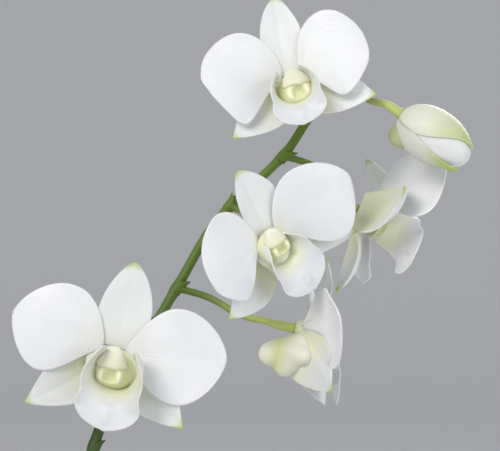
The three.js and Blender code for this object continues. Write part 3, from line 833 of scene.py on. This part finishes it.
# %% Columns
COLUMN_FINISHES = [CAP, COLUMN]
BODY = {"width": 8.4, "height": 7.2, "middle": -5.6, "floor": 1.5, "dish": 3.4}
MOUND = (3.2, 0, -6.4, 5.4, 5)
CHEEKS = (1.1, 3.6, -7.9, 1.3, 2.1)
HOLLOW = (2.7, 0, -7.3, 2.2, 1.9)
CAP_WIDTH = (2, 5.6)
CAP_DEPTH = (1.6, 2.5)
CAP_REACH = (2.6, -5.1)
CAP_OUT = 5.4
CAP_LEAN = 1.6
CAP_BOW = 0.04
CAP_RUFFLES = [(0.3, 2.1), (0.12, 5)]
CAP_SQUARE = {"side": 0.75, "front": 0.8, "share": 0.7}


def squared(value, power):
    return math.copysign(abs(value) ** power, value)


def hill(x, y, rise, side, middle, width, height):
    return rise * math.exp(-(((x - side) / width) ** 4 + ((y - middle) / height) ** 4))


def column_body(at):
    x, y = at.x * BODY["width"], at.y * BODY["height"] + BODY["middle"]
    if at.z < 0:
        return Vector((x, y, BODY["floor"]))
    dish = BODY["floor"] + BODY["dish"] * (1 - math.hypot(at.x, at.y) ** 4)
    return Vector((x, y, dish + hill(x, y, *MOUND) + hill(abs(x), y, *CHEEKS) - hill(x, y, *HOLLOW)))


def column_cap(at):
    down = (1 - at.y) / 2
    round_part = math.sqrt(max(1 - at.y**2, 0))
    square_part = max(1 - at.y**8, 0) ** (1 / 3)
    angle = math.atan2(at.z, at.x)
    width = mix(*CAP_WIDTH, smooth(down, -0.1, 0.95)) * square_part
    depth = mix(*CAP_DEPTH, down) * mix(round_part, square_part, CAP_SQUARE["share"])
    x = width * squared(math.cos(angle), CAP_SQUARE["side"])
    ruffle = sum(rise * math.sin(x * waves) for rise, waves in CAP_RUFFLES) * smooth(down, 0.7, 1)
    front = CAP_OUT + depth * squared(math.sin(angle), CAP_SQUARE["front"]) + CAP_LEAN * down
    return Vector((x, mix(*CAP_REACH, down) + ruffle, front - CAP_BOW * x * x * down))


COLUMN_SHIFTS = {"bloom_1": (1.2, 0, 0), "bloom_3": (-0.3, 2.4, 0), "bloom_5": (0, -1, 0)}
COLUMN_SIZES = {"bloom_2": 0.78, "bloom_3": 0.88, "bloom_4": 0.8, "bloom_5": 1.12}


def make_column(name):
    bm = new_shape()
    add_ball(bm, COLUMN_FINISHES.index(COLUMN), column_body)
    add_ball(bm, COLUMN_FINISHES.index(CAP), column_cap)
    shift = Matrix.Translation(COLUMN_SHIFTS.get(name, (0, 0, 0)))
    bm.transform(bloom_frame(**BLOOMS[name]) @ (shift @ Matrix.Scale(COLUMN_SIZES.get(name, 1), 4)))
    round_off(make_piece(name + ".column", bm, COLUMN_FINISHES, [name + "_column"]))


for name in BLOOMS:
    make_column(name)

# %% [markdown]
# ## The spike
# The main stem arches up out of the tallest cane. Its green is painted darker below and lighter above, as
# painted shade where less light reaches the lower stem. It is a little thicker at each joint, and a small
# scale leaf clasps it there. Each flower stalk leaves it at such a joint, and grows thicker and paler towards
# the flower, where it is really the flower's ovary.

# %% Stem finish
# Painted shade: the lower stem's green is darker, as less light reaches it, and turns into the lit green over
# a span of heights.
STEM_SHADED_GREEN = (0.028, 0.062, 0.004)
STEM_LIGHT = (0.11, 0.18, 0.012)
STALK_PALE = (0.50, 0.56, 0.18)
STEM_SHADE_SPAN = (0.31, 0.42)


def stem_finish():
    finish = Finish("stem green", 0.55, Subsurface_Weight=0.1, Subsurface_Scale=0.001)
    place = finish.place()
    up = finish.plus(finish.part(place, "Z"), finish.times(finish.noise(place, 120), 0.03))
    # painted shade: darker green low on the stem, lighter green higher up
    stem = finish.blend(finish.ramp(up, *STEM_SHADE_SPAN), STEM_SHADED_GREEN, STEM_LIGHT)
    along_stalk = finish.node("ShaderNodeAttribute", attribute_name="fade").outputs["Fac"]
    finish.color(finish.blend(along_stalk, stem, STALK_PALE))
    finish.bump(finish.noise(place, 600), 0.1)
    return finish.material


STEM = stem_finish()
print("stem finish:", STEM.name)

# %% [markdown]
# The line of the stem and the lines of the stalks are the ones that the solid follows. A stalk is the
# height at which it leaves the stem, the points it passes, the flower it bears and the place in that
# flower's own frame where it ends.

# %% Lines of the spike
SPIKE_POINTS = [
    (-22.4, 14.2, 246.8), (-20.5, 15, 265), (-15, 18, 292), (-8.2, 22, 320), (1.5, 28, 340),
    (11.3, 32, 357), (20.5, 36, 373), (31, 38, 391), (40, 38, 401), (49.7, 38, 410), (58.4, 38, 419),
    (66.3, 36, 431), (73, 33, 440), (79, 31, 446),
]
BUD = {"at": (108, 5, 422.3), "turn": (72, -34, 0), "size": 1}
NECK_END = (0, 0, -8)
BUD_END = (0, 0.3, -13.6)
STALKS = [
    (355, [(4, 23, 353)], BLOOMS["bloom_1"], NECK_END),
    (369, [(30.6, 34, 366), (41.4, 30, 360.2), (52, 25, 357.8)], BLOOMS["bloom_2"], NECK_END),
    (399, [(43, 26, 396)], BLOOMS["bloom_3"], NECK_END),
    (417, [(67.5, 40, 413.9), (76, 36, 407)], BLOOMS["bloom_4"], NECK_END),
    (433, [(63, 24, 439)], BLOOMS["bloom_5"], NECK_END),
    (443, [(81, 26, 440.4), (87.7, 18, 435.6)], BUD, BUD_END),
]
BARE_JOINTS = [278, 314]
JOINTS = [*BARE_JOINTS, *(stalk[0] for stalk in STALKS)]
STEM_STEPS = 150

stem_line = smooth_path(SPIKE_POINTS, STEM_STEPS)


def stem_point(height):
    return min(range(len(stem_line)), key=lambda k: abs(stem_line[k].z - height))


print("joints of the stem:", len(JOINTS))

# %% [markdown]
# The stem tapers and swells at every joint. A stalk is thicker where it leaves the stem and where it
# turns into the ribbed ovary. The value `fade` of a point says how far along its stalk it is, and turns
# the stem's green into the pale green of a flower stalk.

# %% Stem and flower stalks
STEM_RADIUS = 1.9
STEM_TAPER = (1.1, 0.8)
KNUCKLE = {"height": 2.2, "rise": 0.2}
STEM_SIDES = 20
STALK_RADIUS = 1.3
STALK_ENDS = {"foot": 0.3, "ovary": 1.4, "ribs": 0.05}
STALK_STEPS = 48
STALK_SIDES = 18
TOUCH = 0.3
APPROACH = (6, 2, -1)


def add_stem(bm):
    def radius(along, angle):
        height = stem_line[round(along * STEM_STEPS)].z
        knuckle = sum(math.exp(-(((height - joint) / KNUCKLE["height"]) ** 2)) for joint in JOINTS)
        ribs = 0.03 * math.cos(angle * 5)
        return STEM_RADIUS * (mix(*STEM_TAPER, along) + KNUCKLE["rise"] * knuckle + ribs)

    add_tube(bm, stem_line, radius, STEM_SIDES)


def add_stalk(bm, height, via, bears, joint):
    fade = bm.verts.layers.float["fade"]
    place = bloom_frame(**bears)
    facing = (place.to_3x3() @ Vector((0, 0, 1))).normalized()
    end = place @ Vector(joint)
    approach = [end - facing * (TOUCH + back) for back in APPROACH]
    path = smooth_path([stem_line[stem_point(height)], *map(Vector, via), *approach], STALK_STEPS)

    def radius(along, angle):
        ribs = 1 + STALK_ENDS["ribs"] * math.cos(angle * 6) * smooth(along, 0.5, 0.8)
        swell = mix(1, STALK_ENDS["ovary"], smooth(along, 0.7, 1))
        return STALK_RADIUS * (swell + STALK_ENDS["foot"] * (1 - smooth(along, 0, 0.08))) * ribs

    for vert in add_tube(bm, path, radius, STALK_SIDES):
        near = min(range(STALK_STEPS + 1), key=lambda k: (path[k] - vert.co).length)
        vert[fade] = smooth(near / STALK_STEPS, 0.05, 0.95)


spike = new_shape()
spike.verts.layers.float.new("fade")
add_stem(spike)
for stalk in STALKS:
    add_stalk(spike, *stalk)
print("stem and stalks:", len(spike.verts), "points")

# %% [markdown]
# A small scale leaf clasps the stem at each joint, by turns on its left and on its right. It is the same
# kind of blade as a petal, curled round the stem at its foot and opening towards its tip.

# %% Scale leaves of the spike
SCALE_LEAF = {"length": 6.5, "start": 2.2, "width": 5.4, "thickness": 0.3, "drop": 2}
SCALE_GRID = (12, 10)
SCALE_TILT = easing([(0, 88), (0.5, 80), (1, 56)])
SCALE_WRAP = easing([(0, 150), (0.35, 110), (1, 30)])
SCALE_SIDE = (-0.35, 0.1)


def scale_width(u, v):
    return max(SCALE_LEAF["width"] * (1 - u) ** 0.8, 0.3)


def clasping(middle, out, up):
    out = (out - up * out.dot(up)).normalized()
    place = Matrix((out, up.cross(out), up)).transposed().to_4x4()
    place.translation = middle
    return place


def add_scale_leaf(bm, height, side):
    k = stem_point(height)
    up = (stem_line[min(k + 2, STEM_STEPS)] - stem_line[max(k - 2, 0)]).normalized()
    place = clasping(stem_line[k] - up * SCALE_LEAF["drop"], Vector((side, *SCALE_SIDE)), up)
    at = blade(SCALE_LEAF["length"], SCALE_LEAF["start"], 0, SCALE_TILT, scale_width, SCALE_WRAP)
    made = lay_sheet(bm, *SCALE_GRID, lambda v, t: place @ at(v, t))
    faces = dict.fromkeys(face for vert in made for face in vert.link_faces)
    bmesh.ops.solidify(bm, geom=list(faces), thickness=SCALE_LEAF["thickness"])


for i, joint in enumerate(JOINTS):
    add_scale_leaf(spike, joint, 1 if i % 2 else -1)
face_outwards(spike)
make_piece("spike.stem", spike, [STEM], ["spike"])

# %% [markdown]
# ## The bud
# A bud that is about to open is a closed flower. Its white petals are folded into one egg, three sepals
# follow the egg round to its tip, and the chin already bulges under its stalk. The upper sepal is the
# broadest. Between it and the lower ones the petals show as a white wedge.

# %% Bud finishes
UPPER_WHITE = (0.80, 0.80, 0.61)
LOWER_WHITE = (0.72, 0.72, 0.60)
BUD_CHIN_GREEN = (0.34, 0.37, 0.19)
BUD_CHIN_PALE = (0.48, 0.51, 0.28)

BUD_UPPER = white_flesh("bud upper sepal", UPPER_WHITE, 9, (0, 0.3, 0.3, 1), (0.36, 0.94, 0.66), 0.1)
BUD_LOWER = white_flesh("bud lower sepal", LOWER_WHITE, 9, (0, 0.4, 0.3, 1), (0.62, 1.0, 0.9), 0.3)
BUD_CHIN = soft_flesh("bud chin", OUT, -14, -8, [BUD_CHIN_GREEN, BUD_CHIN_PALE])
print("bud finishes:", [finish.name for finish in (BUD_UPPER, BUD_LOWER, BUD_CHIN)])

# %% [markdown]
# A point on the egg is found by how far it lies from the back to the front and how far round. A sepal is
# a sheet of such points, and its sides draw together towards the tip. The neck and the chin are short
# tubes that reach into the egg.

# %% Bud
SEPAL_FINISHES = [BUD_UPPER, BUD_LOWER]
HEART_FINISHES = [PETAL, BUD_CHIN]
EGG_HALF = 13.4
EGG_RADIUS = 8.9
EGG_BLUNT = 0.85
EGG_NARROW = 0.1
EGG_TIP = 1
BUD_SEPAL_START = 17
BUD_SEPAL_END = 3
BUD_SEPAL_OUT = 0.35
BUD_SEPAL_SWELL = 0.25
BUD_SEPAL_GRID = (32, 34)
BUD_SEPAL_THICK = 0.5
BUD_SEPALS = [
    {"middle": 90, "wrap": 112, "hold": 0, "power": 2.6, "end": 158, "flare": 0, "finish": BUD_UPPER},
    {"middle": -128, "wrap": 42, "hold": 0.35, "power": 1.3, "end": 149, "flare": 2, "finish": BUD_LOWER},
    {"middle": -52, "wrap": 38, "hold": 0.45, "power": 1.3, "end": 147, "flare": 0.4, "finish": BUD_LOWER},
]
BUD_NECK_LINE = [(0, 0.3, -14), (0, 0.3, -12), (0, 0, -9.6)]
BUD_NECK_RADIUS = (1.9, 4.8)
BUD_CHIN_LINE = [(0, -2, -4), (0, -5, -8.6), (0, -8.4, -13.6)]
BUD_CHIN_RADIUS = (6, 4)
BUD_TUBE = {"steps": 12, "sides": 20}


def on_egg(way, around, out):
    narrow = 1 - EGG_NARROW * smooth(way, 1.7, 2.8)
    reach = (EGG_RADIUS + out) * max(math.sin(way), 0) ** EGG_BLUNT * narrow
    far = -(EGG_HALF + out) * math.cos(way) + EGG_TIP * smooth(way, 2.2, math.pi)
    return Vector((reach * math.cos(around), reach * math.sin(around), far))


def add_bud_sepal(bm, middle, wrap, hold, power, end, flare, finish):
    def at(v, t):
        narrow = max((t - hold) / (1 - hold), 0) ** power
        around = math.radians(middle - v * mix(wrap, BUD_SEPAL_END, narrow))
        swell = BUD_SEPAL_SWELL * (1 - abs(v) ** 3) * smooth(t, 0.1, 0.4)
        out = BUD_SEPAL_OUT + flare * smooth(t, 0.8, 1) + swell
        return on_egg(math.radians(mix(BUD_SEPAL_START, end, t)), around, out)

    lay_sheet(bm, *BUD_SEPAL_GRID, at, SEPAL_FINISHES.index(finish))


def egg_point(at):
    return on_egg(math.acos(min(max(-at.z, -1), 1)), math.atan2(at.y, at.x), 0)


def bud_neck_radius(along, angle):
    return mix(*BUD_NECK_RADIUS, along)


def bud_chin_radius(along, angle):
    return mix(*BUD_CHIN_RADIUS, along) * math.sqrt(max(1.03 - along**6, 0.02))


bm = new_shape()
for sepal in BUD_SEPALS:
    add_bud_sepal(bm, **sepal)
bm.transform(bloom_frame(**BUD))
thicken(make_piece("bud.sepals", bm, SEPAL_FINISHES, ["bud"]), BUD_SEPAL_THICK)

bm = new_shape()
add_ball(bm, HEART_FINISHES.index(PETAL), egg_point)
for line, radius in ((BUD_NECK_LINE, bud_neck_radius), (BUD_CHIN_LINE, bud_chin_radius)):
    path = smooth_path(line, BUD_TUBE["steps"])
    add_tube(bm, path, radius, BUD_TUBE["sides"], HEART_FINISHES.index(BUD_CHIN))
face_outwards(bm)
bm.transform(bloom_frame(**BUD))
round_off(make_piece("bud.heart", bm, HEART_FINISHES, ["bud"]))

# %% [markdown]
# ## Canes
# A cane is a swollen stem in short lengths. Each length ends in a ring where a leaf once clasped it, and
# an old cane keeps papery grey sheaths on its lower lengths. Fine grooves run along it as it dries.

# %% Cane finish
CANE_GREEN = (0.16, 0.20, 0.035)
CANE_OLD = (0.30, 0.28, 0.10)
SHEATH = (0.48, 0.43, 0.31)
CANE_GROOVES = 26


def cane_finish():
    finish = Finish("cane", 0.5, Subsurface_Weight=0.05, Subsurface_Scale=0.001)
    around, along = finish.along()
    place = finish.place()
    grooves = finish.math("SINE", finish.times(around, CANE_GROOVES * math.tau))
    patches = finish.noise(place, 55, 4)
    streaks = finish.noise(finish.stretched(place, (1, 1, 0.2)), 420, 3)
    green = finish.blend(finish.ramp(patches, 0.4, 0.62), CANE_GREEN, CANE_OLD)
    dry = finish.math("SUBTRACT", finish.plus(patches, finish.times(streaks, 0.35)), along)
    sheathed = finish.ramp(dry, 0.16, 0.3)
    finish.color(finish.blend(sheathed, green, SHEATH))
    finish.rough(finish.ramp(sheathed, 0, 1, 0.42, 0.85))
    finish.bump(finish.plus(finish.times(grooves, 0.3), streaks), 0.25)
    return finish.material


CANE = cane_finish()
print("cane finish:", CANE.name)

# %% [markdown]
# Each cane follows the same bent line as its solid. Its radius swells below the middle and closes over
# its top, and every ring stands a little proud.

# %% Canes
CANES = [
    {"name": "cane_1", "line": ((-8, 8, 84), (-10, 9, 170), (-22, 14, 246)), "radius": 7, "joints": 8},
    {"name": "cane_2", "line": ((14, 2, 84), (20, 0, 140), (34, -6, 204)), "radius": 7.4, "joints": 7},
    {"name": "cane_3", "line": ((-26, -6, 84), (-34, -12, 125), (-48, -22, 174)), "radius": 7, "joints": 6},
    {"name": "cane_4", "line": ((4, -18, 84), (6, -24, 104), (10, -32, 128)), "radius": 5, "joints": 3},
]
CANE_STEPS = 120
CANE_SIDES = 32
CANE_FOOT = 0.62
CANE_TOP = 0.5
RING = {"rise": 0.55, "waist": 0.04, "furrow": 0.9}
CANE_RIBS = 0.012


def cane_line(line, steps=CANE_STEPS):
    foot, bend, top = (Vector(point) for point in line)
    path = []
    for k in range(steps + 1):
        t = k / steps
        path.append(foot * (1 - t) ** 2 + bend * (2 * t * (1 - t)) + top * t**2)
    return path


def cane_radius(cane, u):
    swell = mix(CANE_FOOT, 1, math.sin(math.pi * min(u * 1.25, 1) ** 0.8))
    body = cane["radius"] * swell * mix(1, CANE_TOP, u**3)
    to_ring = abs((u * cane["joints"]) % 1 - 0.5)
    ring = smooth(to_ring, 0.4, 0.47) * (1 - RING["furrow"] * smooth(to_ring, 0.485, 0.5))
    return body * (1 - RING["waist"] * smooth(to_ring, 0.25, 0.4)) + RING["rise"] * ring


def make_cane(cane):
    def radius(along, angle):
        closed = math.sqrt(max(1.01 - max(along * 16 - 15, 0) ** 2, 0.02))
        return cane_radius(cane, along) * closed * (1 + CANE_RIBS * math.sin(angle * 7))

    bm = new_shape()
    add_tube(bm, cane_line(cane["line"]), radius, CANE_SIDES)
    face_outwards(bm)
    make_piece(cane["name"] + ".stem", bm, [CANE], [cane["name"]])


for cane in CANES:
    make_cane(cane)

# %% [markdown]
# ## Leaves
# A leaf is a leathery strap. Its foot clasps the cane as a sheath, then it opens, climbs and arches over.
# The midrib lies in a shallow groove and is paler than the blade, as the foot is, and the tip is slightly
# notched to one side.

# %% Leaf finish
LEAF_DARK = (0.035, 0.095, 0.014)
LEAF_LIGHT = (0.085, 0.17, 0.03)
LEAF_PALE = (0.20, 0.28, 0.06)
LEAF_VEINS = 17
LEAF_ROUGHNESS = (0.28, 0.42)
MIDRIB = (0.008, 0.03)
LEAF_FOOT = (0.04, 0.2)


def leaf_finish():
    finish = Finish("leaf green", 0.34, Subsurface_Weight=0.08, Subsurface_Scale=0.001)
    place = finish.place()
    waver = finish.noise(place, 40)
    lines, across, along = finish.lines(LEAF_VEINS, waver)
    mottled = finish.blend(finish.ramp(waver, 0.35, 0.65), LEAF_DARK, LEAF_LIGHT)
    from_middle = finish.math("ABSOLUTE", finish.math("SUBTRACT", across, 0.5))
    ribbed = finish.blend(finish.ramp(from_middle, *MIDRIB, 0.75, 0), mottled, LEAF_PALE)
    veined = finish.blend(finish.times(lines, 0.16), ribbed, LEAF_PALE)
    finish.color(finish.blend(finish.ramp(along, *LEAF_FOOT, 0.7, 0), veined, LEAF_PALE))
    finish.rough(finish.ramp(finish.noise(place, 150), 0.3, 0.7, *LEAF_ROUGHNESS))
    finish.bump(finish.plus(finish.times(lines, 0.4), finish.noise(place, 500)), 0.12)
    return finish.material


LEAF = leaf_finish()
print("leaf finish:", LEAF.name)

# %% [markdown]
# Each leaf is one row in a table: which cane it is on, how far up, which way it points, its length and
# half width, and the angles at which it rises and at which its tip ends. Its solid has the same sizes.

# %% Leaves
LEAVES = [
    (0, 0.62, 200, 106, 14.5, 62, -8), (0, 0.74, 20, 98, 14, 60, -12), (0, 0.86, 215, 84, 13, 52, -14),
    (1, 0.5, -20, 104, 15, 62, -14), (1, 0.64, 120, 86, 14, 66, 4), (1, 0.78, -35, 92, 14, 66, -6),
    (1, 0.91, 62, 78, 12.5, 60, 0), (2, 0.62, 250, 90, 14, 62, -10), (2, 0.88, 170, 94, 13.5, 64, -4),
    (3, 0.6, -60, 72, 12, 66, 2), (3, 0.86, 110, 58, 9.5, 76, 40),
]
LEAF_EDGE = outline(0.5, 2.4, 1.25, 0.5)
LEAF_THICK = 0.9
LEAF_GRID = (18, 60)
LEAF_NOTCH = 0.06
LEAF_WAVE = 50
CLASP = {"share": 0.13, "wrap": 105, "gap": 1.65}
FOLD = 16
FINE_STEPS = 400


def leaf_blade(radius, length, width, rise, fall):
    def opening(u, end):
        return smooth(u, CLASP["share"] * 0.6, end)

    def tilt(u):
        return mix(mix(90, rise, smooth(u, CLASP["share"], 0.25)), fall, smooth(u, 0.2, 1))

    def half_width(u, v):
        notch = 1 + LEAF_NOTCH * v * smooth(u, 0.8, 1)
        sheath = radius * math.radians(CLASP["wrap"])
        return mix(sheath, width * LEAF_EDGE(u) * notch, opening(u, 0.3)) + 0.2

    def curl(u):
        return mix(CLASP["wrap"], FOLD, opening(u, 0.32))

    return blade(length, radius, 0, tilt, half_width, curl, ripple=0.5, phase=length / LEAF_WAVE, pleat=0.9)


def step_at(path, share):
    run = [0]
    for p, q in zip(path, path[1:]):
        run.append(run[-1] + (q - p).length)
    return min(range(len(run)), key=lambda k: abs(run[k] - share * run[-1]))


def make_leaf(number, cane, height, side, length, width, rise, fall):
    path = cane_line(CANES[cane]["line"], FINE_STEPS)
    k = step_at(path, height)
    up = (path[min(k + 1, FINE_STEPS)] - path[k - 1]).normalized()
    out = Vector((math.cos(math.radians(side)), math.sin(math.radians(side)), 0))
    place = clasping(path[k], out, up)
    at = leaf_blade(cane_radius(CANES[cane], height) + CLASP["gap"], length, width, rise, fall)
    bm = new_shape()
    lay_sheet(bm, *LEAF_GRID, lambda v, t: place @ at(v, t))
    node = f"leaf_{number}"
    thicken(make_piece(node + ".blade", bm, [LEAF], [node]), LEAF_THICK)


for number, leaf in enumerate(LEAVES, 1):
    make_leaf(number, *leaf)

# %% [markdown]
# ## Bark
# Orchids root in loose bark, not in soil. The bark is a heap of a hundred and seventy chips of one rough
# block shape, each turned and stretched by chance, on a plug that closes the gaps between them.
# The chance is seeded, and the corners of a chip are put in order before they are moved, so the same
# chips lie in the same place every time. A golden angle between one chip and the next spreads them evenly.

# %% Bark finish and chips
BARK_DARK = (0.05, 0.028, 0.017)
BARK_LIGHT = (0.22, 0.125, 0.07)


def bark_finish():
    finish = Finish("bark", 0.85)
    place = finish.place()
    patches = finish.noise(place, 70, 4)
    grain = finish.noise(finish.stretched(place, (1, 0.3, 1)), 500, 4)
    mixed = finish.plus(finish.times(patches, 0.7), finish.times(grain, 0.3))
    finish.color(finish.blend(finish.ramp(mixed, 0.35, 0.65), BARK_DARK, BARK_LIGHT))
    finish.bump(grain, 0.6)
    return finish.material


BARK = bark_finish()
BARK_TOP = 90
PLUG_FOOT = 6.35
PLUG_TOP = 89.95
PLUG = {"cap_ends": True, "segments": 64, "radius1": 35.5, "radius2": 51.5}
BARK_REACH = 44
BARK_HEAP = (-1, 3.5)
CHIPS = 170
CHIP_SIZE = [(8, 17), (6, 11), (2.5, 5)]
CHIP_ROUGHNESS = (0.84, 1.1)
CHIP_TILT = 0.45
CHIP_BEVEL = 0.13
GOLDEN_ANGLE = math.pi * (3 - math.sqrt(5))
chance = random.Random(4)


def from_corner(vert):
    return [round(length, 4) for length in vert.co]


def add_chip(bm, middle):
    size = [chance.uniform(*span) for span in CHIP_SIZE]
    corners = bmesh.ops.create_cube(bm, size=1)["verts"]
    edges = dict.fromkeys(edge for vert in corners for edge in vert.link_edges)
    cut = bmesh.ops.bevel(
        bm, geom=list(edges), offset=CHIP_BEVEL, segments=1, profile=0.5, affect="EDGES", material=-1,
    )
    made = sorted({vert for face in cut["faces"] for vert in face.verts}, key=from_corner)
    for vert in made:
        vert.co = Vector([c * s * chance.uniform(*CHIP_ROUGHNESS) for c, s in zip(vert.co, size)])
    turn = Matrix.Rotation(chance.uniform(0, math.tau), 3, "Z")
    turn = turn @ Matrix.Rotation(chance.uniform(-CHIP_TILT, CHIP_TILT), 3, "X")
    turn = turn @ Matrix.Rotation(chance.uniform(-CHIP_TILT, CHIP_TILT), 3, "Y")
    for vert in made:
        vert.co = turn @ vert.co + middle


bm = new_shape()
bmesh.ops.create_cone(
    bm, **PLUG, depth=PLUG_TOP - PLUG_FOOT, matrix=Matrix.Translation((0, 0, (PLUG_TOP + PLUG_FOOT) / 2)),
)
for i in range(CHIPS):
    angle, far = i * GOLDEN_ANGLE, BARK_REACH * math.sqrt((i + 0.5) / CHIPS)
    height = BARK_TOP + chance.uniform(*BARK_HEAP)
    add_chip(bm, Vector((far * math.cos(angle), far * math.sin(angle), height)))
face_outwards(bm)
heap = make_piece("bark.heap", bm, [BARK], ["bark"])
heap.data.shade_flat()

# %% [markdown]
# ## The pot
# A plain clay pot is thrown on a wheel, so half of its section spun round the middle gives all of it.
# The section goes up the outside, over the banded rim and down the inside. Five drain holes are cut
# through the floor. Clay is matt, with faint turning lines, and pale salts bloom on it where it dries.

# %% Clay finish
CLAY_RED = (0.42, 0.155, 0.07)
CLAY_PALE = (0.55, 0.27, 0.15)
SALT = (0.62, 0.52, 0.43)
SALT_FADE = (0.012, 0.04)


def clay_finish():
    finish = Finish("clay", 0.88)
    place = finish.place()
    patches = finish.noise(place, 28, 4)
    rings = finish.noise(finish.stretched(place, (0.02, 0.02, 1)), 900)
    clay = finish.blend(finish.ramp(patches, *NOISE_SPAN), CLAY_RED, CLAY_PALE)
    up = finish.plus(finish.part(place, "Z"), finish.times(patches, 0.02))
    salty = finish.times(finish.ramp(up, *SALT_FADE, 0.55, 0), patches)
    finish.color(finish.blend(salty, clay, SALT))
    finish.bump(finish.plus(rings, finish.times(finish.noise(place, 900), 0.5)), 0.3)
    return finish.material


CLAY = clay_finish()
print("clay finish:", CLAY.name)

# %% [markdown]
# The section is the solid's own, with the corners of its band, its rim and its inner wall softened.

# %% Pot
POT = {"height": 104, "foot": 41, "rim": 59, "band": 22, "proud": 3.5, "wall": 5, "floor": 6}
ROUNDING = 0.8
POT_STEPS = 96
POT_SEAM = 0.01


def pot_radius(z):
    return mix(POT["foot"], POT["rim"] - POT["proud"], z / POT["height"])


def pot_section():
    height, foot, rim, wall, floor = (POT[name] for name in ("height", "foot", "rim", "wall", "floor"))
    band = height - POT["band"]
    neck = pot_radius(band)
    outside = [(0, 0), (foot - 1, 0), (foot, 1)]
    banded = [(neck, band), (neck + POT["proud"], band + 2), (rim, height - 1.5), (rim - 1.5, height)]
    inside = [(rim - wall - 1, height), (neck - wall, band)]
    return outside, banded + inside, [(pot_radius(floor) - wall, floor), (0, floor)]


bm = new_shape()
below, softened, bottom = [[bm.verts.new((radius, 0, z)) for radius, z in part] for part in pot_section()]
corners = below + softened + bottom
for pair in zip(corners, corners[1:]):
    bm.edges.new(pair)
bmesh.ops.bevel(
    bm, geom=softened, offset=ROUNDING, segments=3, profile=0.5, affect="VERTICES", material=-1,
)
bmesh.ops.spin(
    bm, geom=bm.verts[:] + bm.edges[:], cent=(0, 0, 0), axis=(0, 0, 1), angle=math.tau, steps=POT_STEPS,
    use_merge=True,
)
bmesh.ops.remove_doubles(bm, verts=bm.verts, dist=POT_SEAM)
face_outwards(bm)
pot = make_piece("pot.clay", bm, [CLAY], ["pot"])

# %% [markdown]
# Five rods at once cut the drain holes through the pot's floor. The cut is applied and the rods are taken
# away, so that the pot stays one plain mesh.

# %% Drain holes
DRAIN = {"count": 5, "radius": 4.5, "circle": 24, "depth": 30, "segments": 32}

drill = bmesh.new()
for i in range(DRAIN["count"]):
    angle = i * math.tau / DRAIN["count"]
    x, y = DRAIN["circle"] * math.cos(angle), DRAIN["circle"] * math.sin(angle)
    bmesh.ops.create_cone(
        drill, cap_ends=True, segments=DRAIN["segments"], radius1=DRAIN["radius"], radius2=DRAIN["radius"],
        depth=DRAIN["depth"], matrix=Matrix.Translation((x, y, 0)),
    )
drill.transform(Matrix.Scale(MM, 4))
drill_mesh = bpy.data.meshes.new("drill")
drill.to_mesh(drill_mesh)
drill.free()
rods = bpy.data.objects.new("drill", drill_mesh)
bpy.context.collection.objects.link(rods)
cut = pot.modifiers.new("holes", "BOOLEAN")
cut.operation = "DIFFERENCE"
cut.object = rods
bpy.context.view_layer.objects.active = pot
bpy.ops.object.modifier_apply(modifier=cut.name)
bpy.data.objects.remove(rods)
print("pot faces:", len(pot.data.polygons))

# %% [markdown]
# ## Floor and light
# The plant stands on a plain pale floor that curves up into a wall far away on every side, so no
# horizon shows from anywhere.

# %% Floor
FLOOR_GREY = (0.80, 0.80, 0.81)
FLOOR_FLAT = 3.2
FLOOR_BEND = 1.4
FLOOR_WALL = 1.8
BEND_STEPS = 12
FLOOR_STEPS = 96
FLOOR_SEAM = 0.001

backdrop = Finish("pale floor", 0.9)
backdrop.shader.inputs["Base Color"].default_value = (*FLOOR_GREY, 1)
profile = [(0, 0), (FLOOR_FLAT, 0)]
for k in range(1, BEND_STEPS + 1):
    angle = k / BEND_STEPS * math.pi / 2
    profile.append((FLOOR_FLAT + FLOOR_BEND * math.sin(angle), FLOOR_BEND * (1 - math.cos(angle))))
profile.append((FLOOR_FLAT + FLOOR_BEND, FLOOR_WALL))
bm = bmesh.new()
section = [bm.verts.new((radius, 0, height)) for radius, height in profile]
line = [bm.edges.new(pair) for pair in zip(section, section[1:])]
bmesh.ops.spin(
    bm, geom=section + line, cent=(0, 0, 0), axis=(0, 0, 1), angle=math.tau, steps=FLOOR_STEPS,
    use_merge=True,
)
bmesh.ops.remove_doubles(bm, verts=bm.verts, dist=FLOOR_SEAM)
floor_mesh = bpy.data.meshes.new("floor")
bm.to_mesh(floor_mesh)
bm.free()
floor_mesh.shade_smooth()
floor_mesh.materials.append(backdrop.material)
floor_piece = bpy.data.objects.new("floor", floor_mesh)
bpy.context.collection.objects.link(floor_piece)
print("floor reaches:", FLOOR_FLAT + FLOOR_BEND, "m")

# %% [markdown]
# White petals need light that is soft but comes mostly from one side, because even light would wash out
# their folds. A large lamp stands high on the left in front, a weaker one fills from the right, and one
# behind lets the petals' edges glow.

# %% Lamps
LAMPS = [
    ("key", (-0.75, -1.25, 1.25), 0.8, 16.5, (1, 0.985, 0.96)),
    ("fill", (1.3, -0.9, 0.7), 1.2, 8, (0.93, 0.96, 1)),
    ("back", (0.7, 1.3, 1.1), 0.9, 10, (1, 1, 1)),
]
AIM = Vector((0.03, 0.01, 0.36))
SKY = (0.95, 0.97, 1)
SKY_STRENGTH = 0.45

for name, place, size, power, tint in LAMPS:
    light = bpy.data.lights.new(name, "AREA")
    light.shape = "DISK"
    light.size = size
    light.energy = power
    light.color = tint
    lamp = bpy.data.objects.new(name, light)
    lamp.location = place
    lamp.rotation_euler = (AIM - lamp.location).to_track_quat("-Z", "Y").to_euler()
    bpy.context.collection.objects.link(lamp)
    print(name, "lamp:", power, "W")

world = bpy.data.worlds.new("studio")
world.use_nodes = True
sky = world.node_tree.nodes["Background"]
sky.inputs["Color"].default_value = (*SKY, 1)
sky.inputs["Strength"].default_value = SKY_STRENGTH
bpy.context.scene.world = world
bpy.context.scene.view_settings.view_transform = "Standard"
